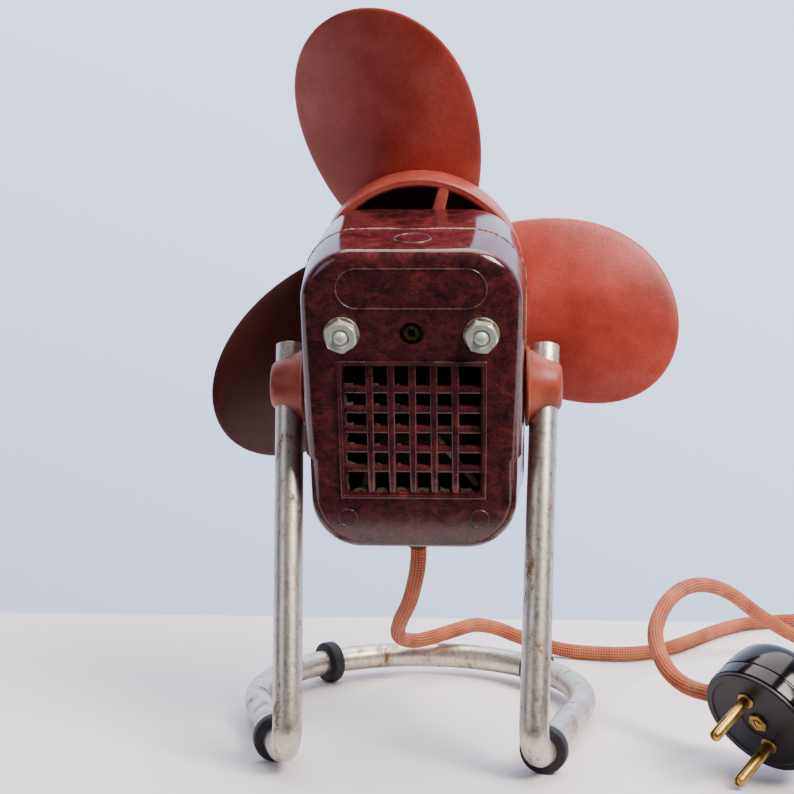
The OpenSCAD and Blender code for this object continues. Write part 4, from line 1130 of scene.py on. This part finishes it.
blades = [copy_of(blade, "blade", Matrix.Rotation(math.radians(90 - 108 + 120 * i), 4, "Y"))
          for i in range(3)]


def paint(piece, tone):
    """One painted shade value over a whole piece, as a colour attribute."""
    layer = piece.data.color_attributes.new("painted_shade", "FLOAT_COLOR", "POINT")
    for value in layer.data:
        value.color = (tone, tone, tone, 1)


# Painted light and shade: the right blade keeps its full colour, the top blade is shaded to 0.8,
# the lower left blade to 0.11, the hoop, hub and spokes to 0.9, and the web behind the hoop to
# 0.12.
for piece, tone in zip(blades, (0.8, 1.0, 0.11)):
    paint(piece, tone)
for piece in (hoop, hub, *spokes):
    paint(piece, 0.9)
paint(web, 0.12)
for part in (spoke, blade):
    bpy.data.objects.remove(part)
wheel = joined("impeller_moulded", hoop, hub, web, *spokes, *blades)
put(wheel, HEAD @ Matrix.Translation(mm(0, 0, SHAFT_UP)))
smooth(wheel, 40)
finished(wheel, blade_rubber, "fan_rotor", "blade_rubber", "impeller")

# %% [markdown]
# The wheel is held by a brass nut with a round end. It is turned with six sides first, and
# its cap is turned round and joined on.

# %% Impeller nut
hexagon = turned("hexagon", [(5.9, 0), (6.3, 0.4), (6.3, 4.4), (5.7, 5.0)], 6)
cap = turned("cap", [(4.3, 4.6), (4.3, 7.2), (3.9, 8.0), (2.6, 8.4)], 32)
cut(hexagon, cap, operation="UNION")
cut(hexagon, rod("bore", mm(0, 0, -1), mm(0, 0, 7), 2.5 * MM))
put(hexagon, HEAD @ Matrix.Translation(mm(0, WHEEL + 14, SHAFT_UP)) @ TO_FRONT)
hexagon.name = hexagon.data.name = "impeller_nut_capped"
smooth(hexagon, 30)
finished(hexagon, brass, "fan_rotor", "brass", "impeller_nut")

# %% [markdown]
# ## Plug
# A round two-pin plug: a glossy bakelite body, a matt face disc held by a brass screw
# and nut, and two split brass pins with collars. It is drawn standing on its back.

# %% Plug body and face
plug_body = turned("plug_body_turned", [
    (12.0, -21.0), (15.5, -21.0), (17.4, -20.3), (18.8, -18.6), (19.6, -16.2), (20.2, -12),
    (20.5, -7.6), (20.45, -7.2), (20.1, -7.0), (20.1, -6.6), (20.45, -6.4), (20.5, -6.0),
    (20.5, -1.9), (20.2, -1.6), (20.0, -1.5)], 72)
collar = turned("collar", [(5.0, 0), (4.9, 1.6), (4.3, 2.6), (3.5, 2.9)], 32)
put(collar, Matrix.Translation(mm(0, -20.1, -11)) @ TO_FRONT.inverted())
plug_disc = turned("plug_face_disc", [
    (19.6, -1.5), (20.2, -1.3), (20.2, -0.5), (19.8, 0.0), (17.6, 0.0), (17.3, -0.35),
    (6.6, -0.35), (6.2, -0.9), (4.4, -0.9)], 72)
for x in (-9.5, 9.5):
    cut(plug_disc, rod("pin_hole", mm(x, 0, -4), mm(x, 0, 3), 3.1 * MM, 32))

# %% Pins
pin = turned("pin", [(2.9, -1.2), (2.9, 0.1), (2.7, 0.3), (2.0, 0.4), (2.0, 17.6), (1.85, 18.3),
                     (1.4, 18.8), (0.8, 19.0)], 32)
slit = block("slit", (-3, -0.35, 10.1), (3, 0.35, 21))
only(slit)
cut(pin, slit)
pins = [copy_of(pin, "pin", PLUG @ Matrix.Translation(mm(x, 0, 0))
                @ Matrix.Rotation(math.radians(t), 4, "Z")) for x, t in ((-9.5, 0), (9.5, 0))]
bpy.data.objects.remove(pin)
plug_pins = joined("plug_pins_split", *pins)

# %% Centre screw
screw_nut = turned("screw_nut", [(3.3, -1.4), (3.55, -1.2), (3.55, 0.0), (3.3, 0.25)], 6)
screw = turned("screw", [(1.8, -1.2), (1.8, 0.5), (1.6, 0.8), (0.9, 1.0)], 28)
cut(screw_nut, screw, operation="UNION")
slit = block("slit", (-4, -0.3, 0.45), (4, 0.3, 2))
only(slit)
cut(screw_nut, slit)
plug_screw = joined("plug_screw_brass", screw_nut)
plug_body = joined("plug_body_turned", plug_body, collar)
for piece in (plug_body, plug_disc, plug_screw):
    put(piece, PLUG)
for piece, finish, slot_name, node in (
        (plug_body, plug_black, "plug_plastic", "plug_body"),
        (plug_disc, plug_face, "plug_plastic", "plug_cover"),
        (plug_pins, brass, "brass", "plug_pins"), (plug_screw, brass, "brass", "plug_screw")):
    smooth(piece, 32)
    finished(piece, finish, "stand", slot_name, node)

# %% [markdown]
# ## Coil tie
# A flat cotton tape is wrapped once round the coil and knotted on top. The loop is a frame
# round the coil's section; the knot is not made.

# %% Tie
coil_mid = COIL_CENTRE.x / MM
tie = block("cord_tie_tape", (coil_mid + 24.9, 149, 0.05), (coil_mid + 39.1, 155, 19.6))
pick(tie, "faces", lambda f: abs(f.normal.y) > 0.9)
bpy.ops.mesh.delete(type="FACE")
pick(tie, "edges", lambda e: abs((e.verts[0].co - e.verts[1].co).y) > 3 * MM)
bpy.ops.mesh.bevel(offset=2.2 * MM, segments=5, affect="EDGES")
tidy_faces(tie)
modify(tie, "SOLIDIFY", thickness=0.6 * MM, offset=-1)
smooth(tie, 45)
finished(tie, tie_tape, "stand", "tie_tape", "cord_tie")

# %% [markdown]
# ## Table and light
# The table is a pale laminate sheet that ends behind the fan. Soft light comes mostly from
# the right, where a window would be, with a weaker fill from the left and from above.

# %% Table
bpy.ops.object.select_all(action="DESELECT")
bpy.ops.mesh.primitive_plane_add(size=1, location=(0, 0.0505, -0.0003))
table = bpy.context.object
table.name = "table_top"
table.scale = (3.2, 0.291, 1)
laminate, tree, shader, place = new_finish("laminate_pale", Roughness=0.55)
speck = add(tree, "TexNoise", {"Scale": grain(3), "Detail": 4.0}, {"Vector": place})
tone = add(tree, "ValToRGB", None, {"Fac": speck.outputs["Fac"]},
           [(0.3, "e8e0de"), (0.7, "efe8e6")])
tree.links.new(tone.outputs[0], shader.inputs["Base Color"])
table.data.materials.append(laminate)

# %% World and lights
world = bpy.data.worlds.new("studio")
bpy.context.scene.world = world
world.use_nodes = True
sky = world.node_tree
ray = add(sky, "TexCoord")
facing = add(sky, "SeparateXYZ", None, {"Vector": ray.outputs["Generated"]})
wall_tone = add(sky, "ValToRGB", None, {"Fac": facing.outputs["Y"]},
                [(0.0, "3c3d43"), (0.5, "c6d1ef")])
height = add(sky, "Math", {"operation": "MULTIPLY_ADD", 1: 0.9, 2: 0.55},
             {0: facing.outputs["Z"]})
across = add(sky, "Math", {"operation": "MULTIPLY_ADD", 1: 0.35},
             {0: facing.outputs["X"], 2: height.outputs[0]})
fall = add(sky, "ValToRGB", None, {"Fac": across.outputs[0]},
           [(0.25, "dcdbdf"), (0.6, "ffffff")])
lit_wall = add(sky, "MixRGB", {"blend_type": "MULTIPLY", "Fac": 1.0},
               {"Color1": wall_tone.outputs[0], "Color2": fall.outputs[0]})
sky.links.new(lit_wall.outputs[0], sky.nodes["Background"].inputs["Color"])
sky.nodes["Background"].inputs["Strength"].default_value = 2.75


def soft_light(name, place, aim, size, power, tint):
    """A square area light at a place, aimed at a point."""
    lamp_data = bpy.data.lights.new(name, "AREA")
    lamp_data.size, lamp_data.energy, lamp_data.color = size, power, colour(tint)[:3]
    lamp = bpy.data.objects.new(name, lamp_data)
    bpy.context.scene.collection.objects.link(lamp)
    lamp.location = place
    lamp.rotation_euler = (Vector(place) - Vector(aim)).to_track_quat("Z", "Y").to_euler()


soft_light("window", (0.75, -0.55, 1.05), (0, 0, 0.1), 0.55, 32, "fff8f2")
soft_light("fill", (-1.0, -0.9, 0.6), (0, 0, 0.12), 0.7, 3, "eef0ff")
soft_light("ceiling", (0.1, 0.25, 1.3), (0, 0, 0.1), 1.0, 19, "fff6ee")
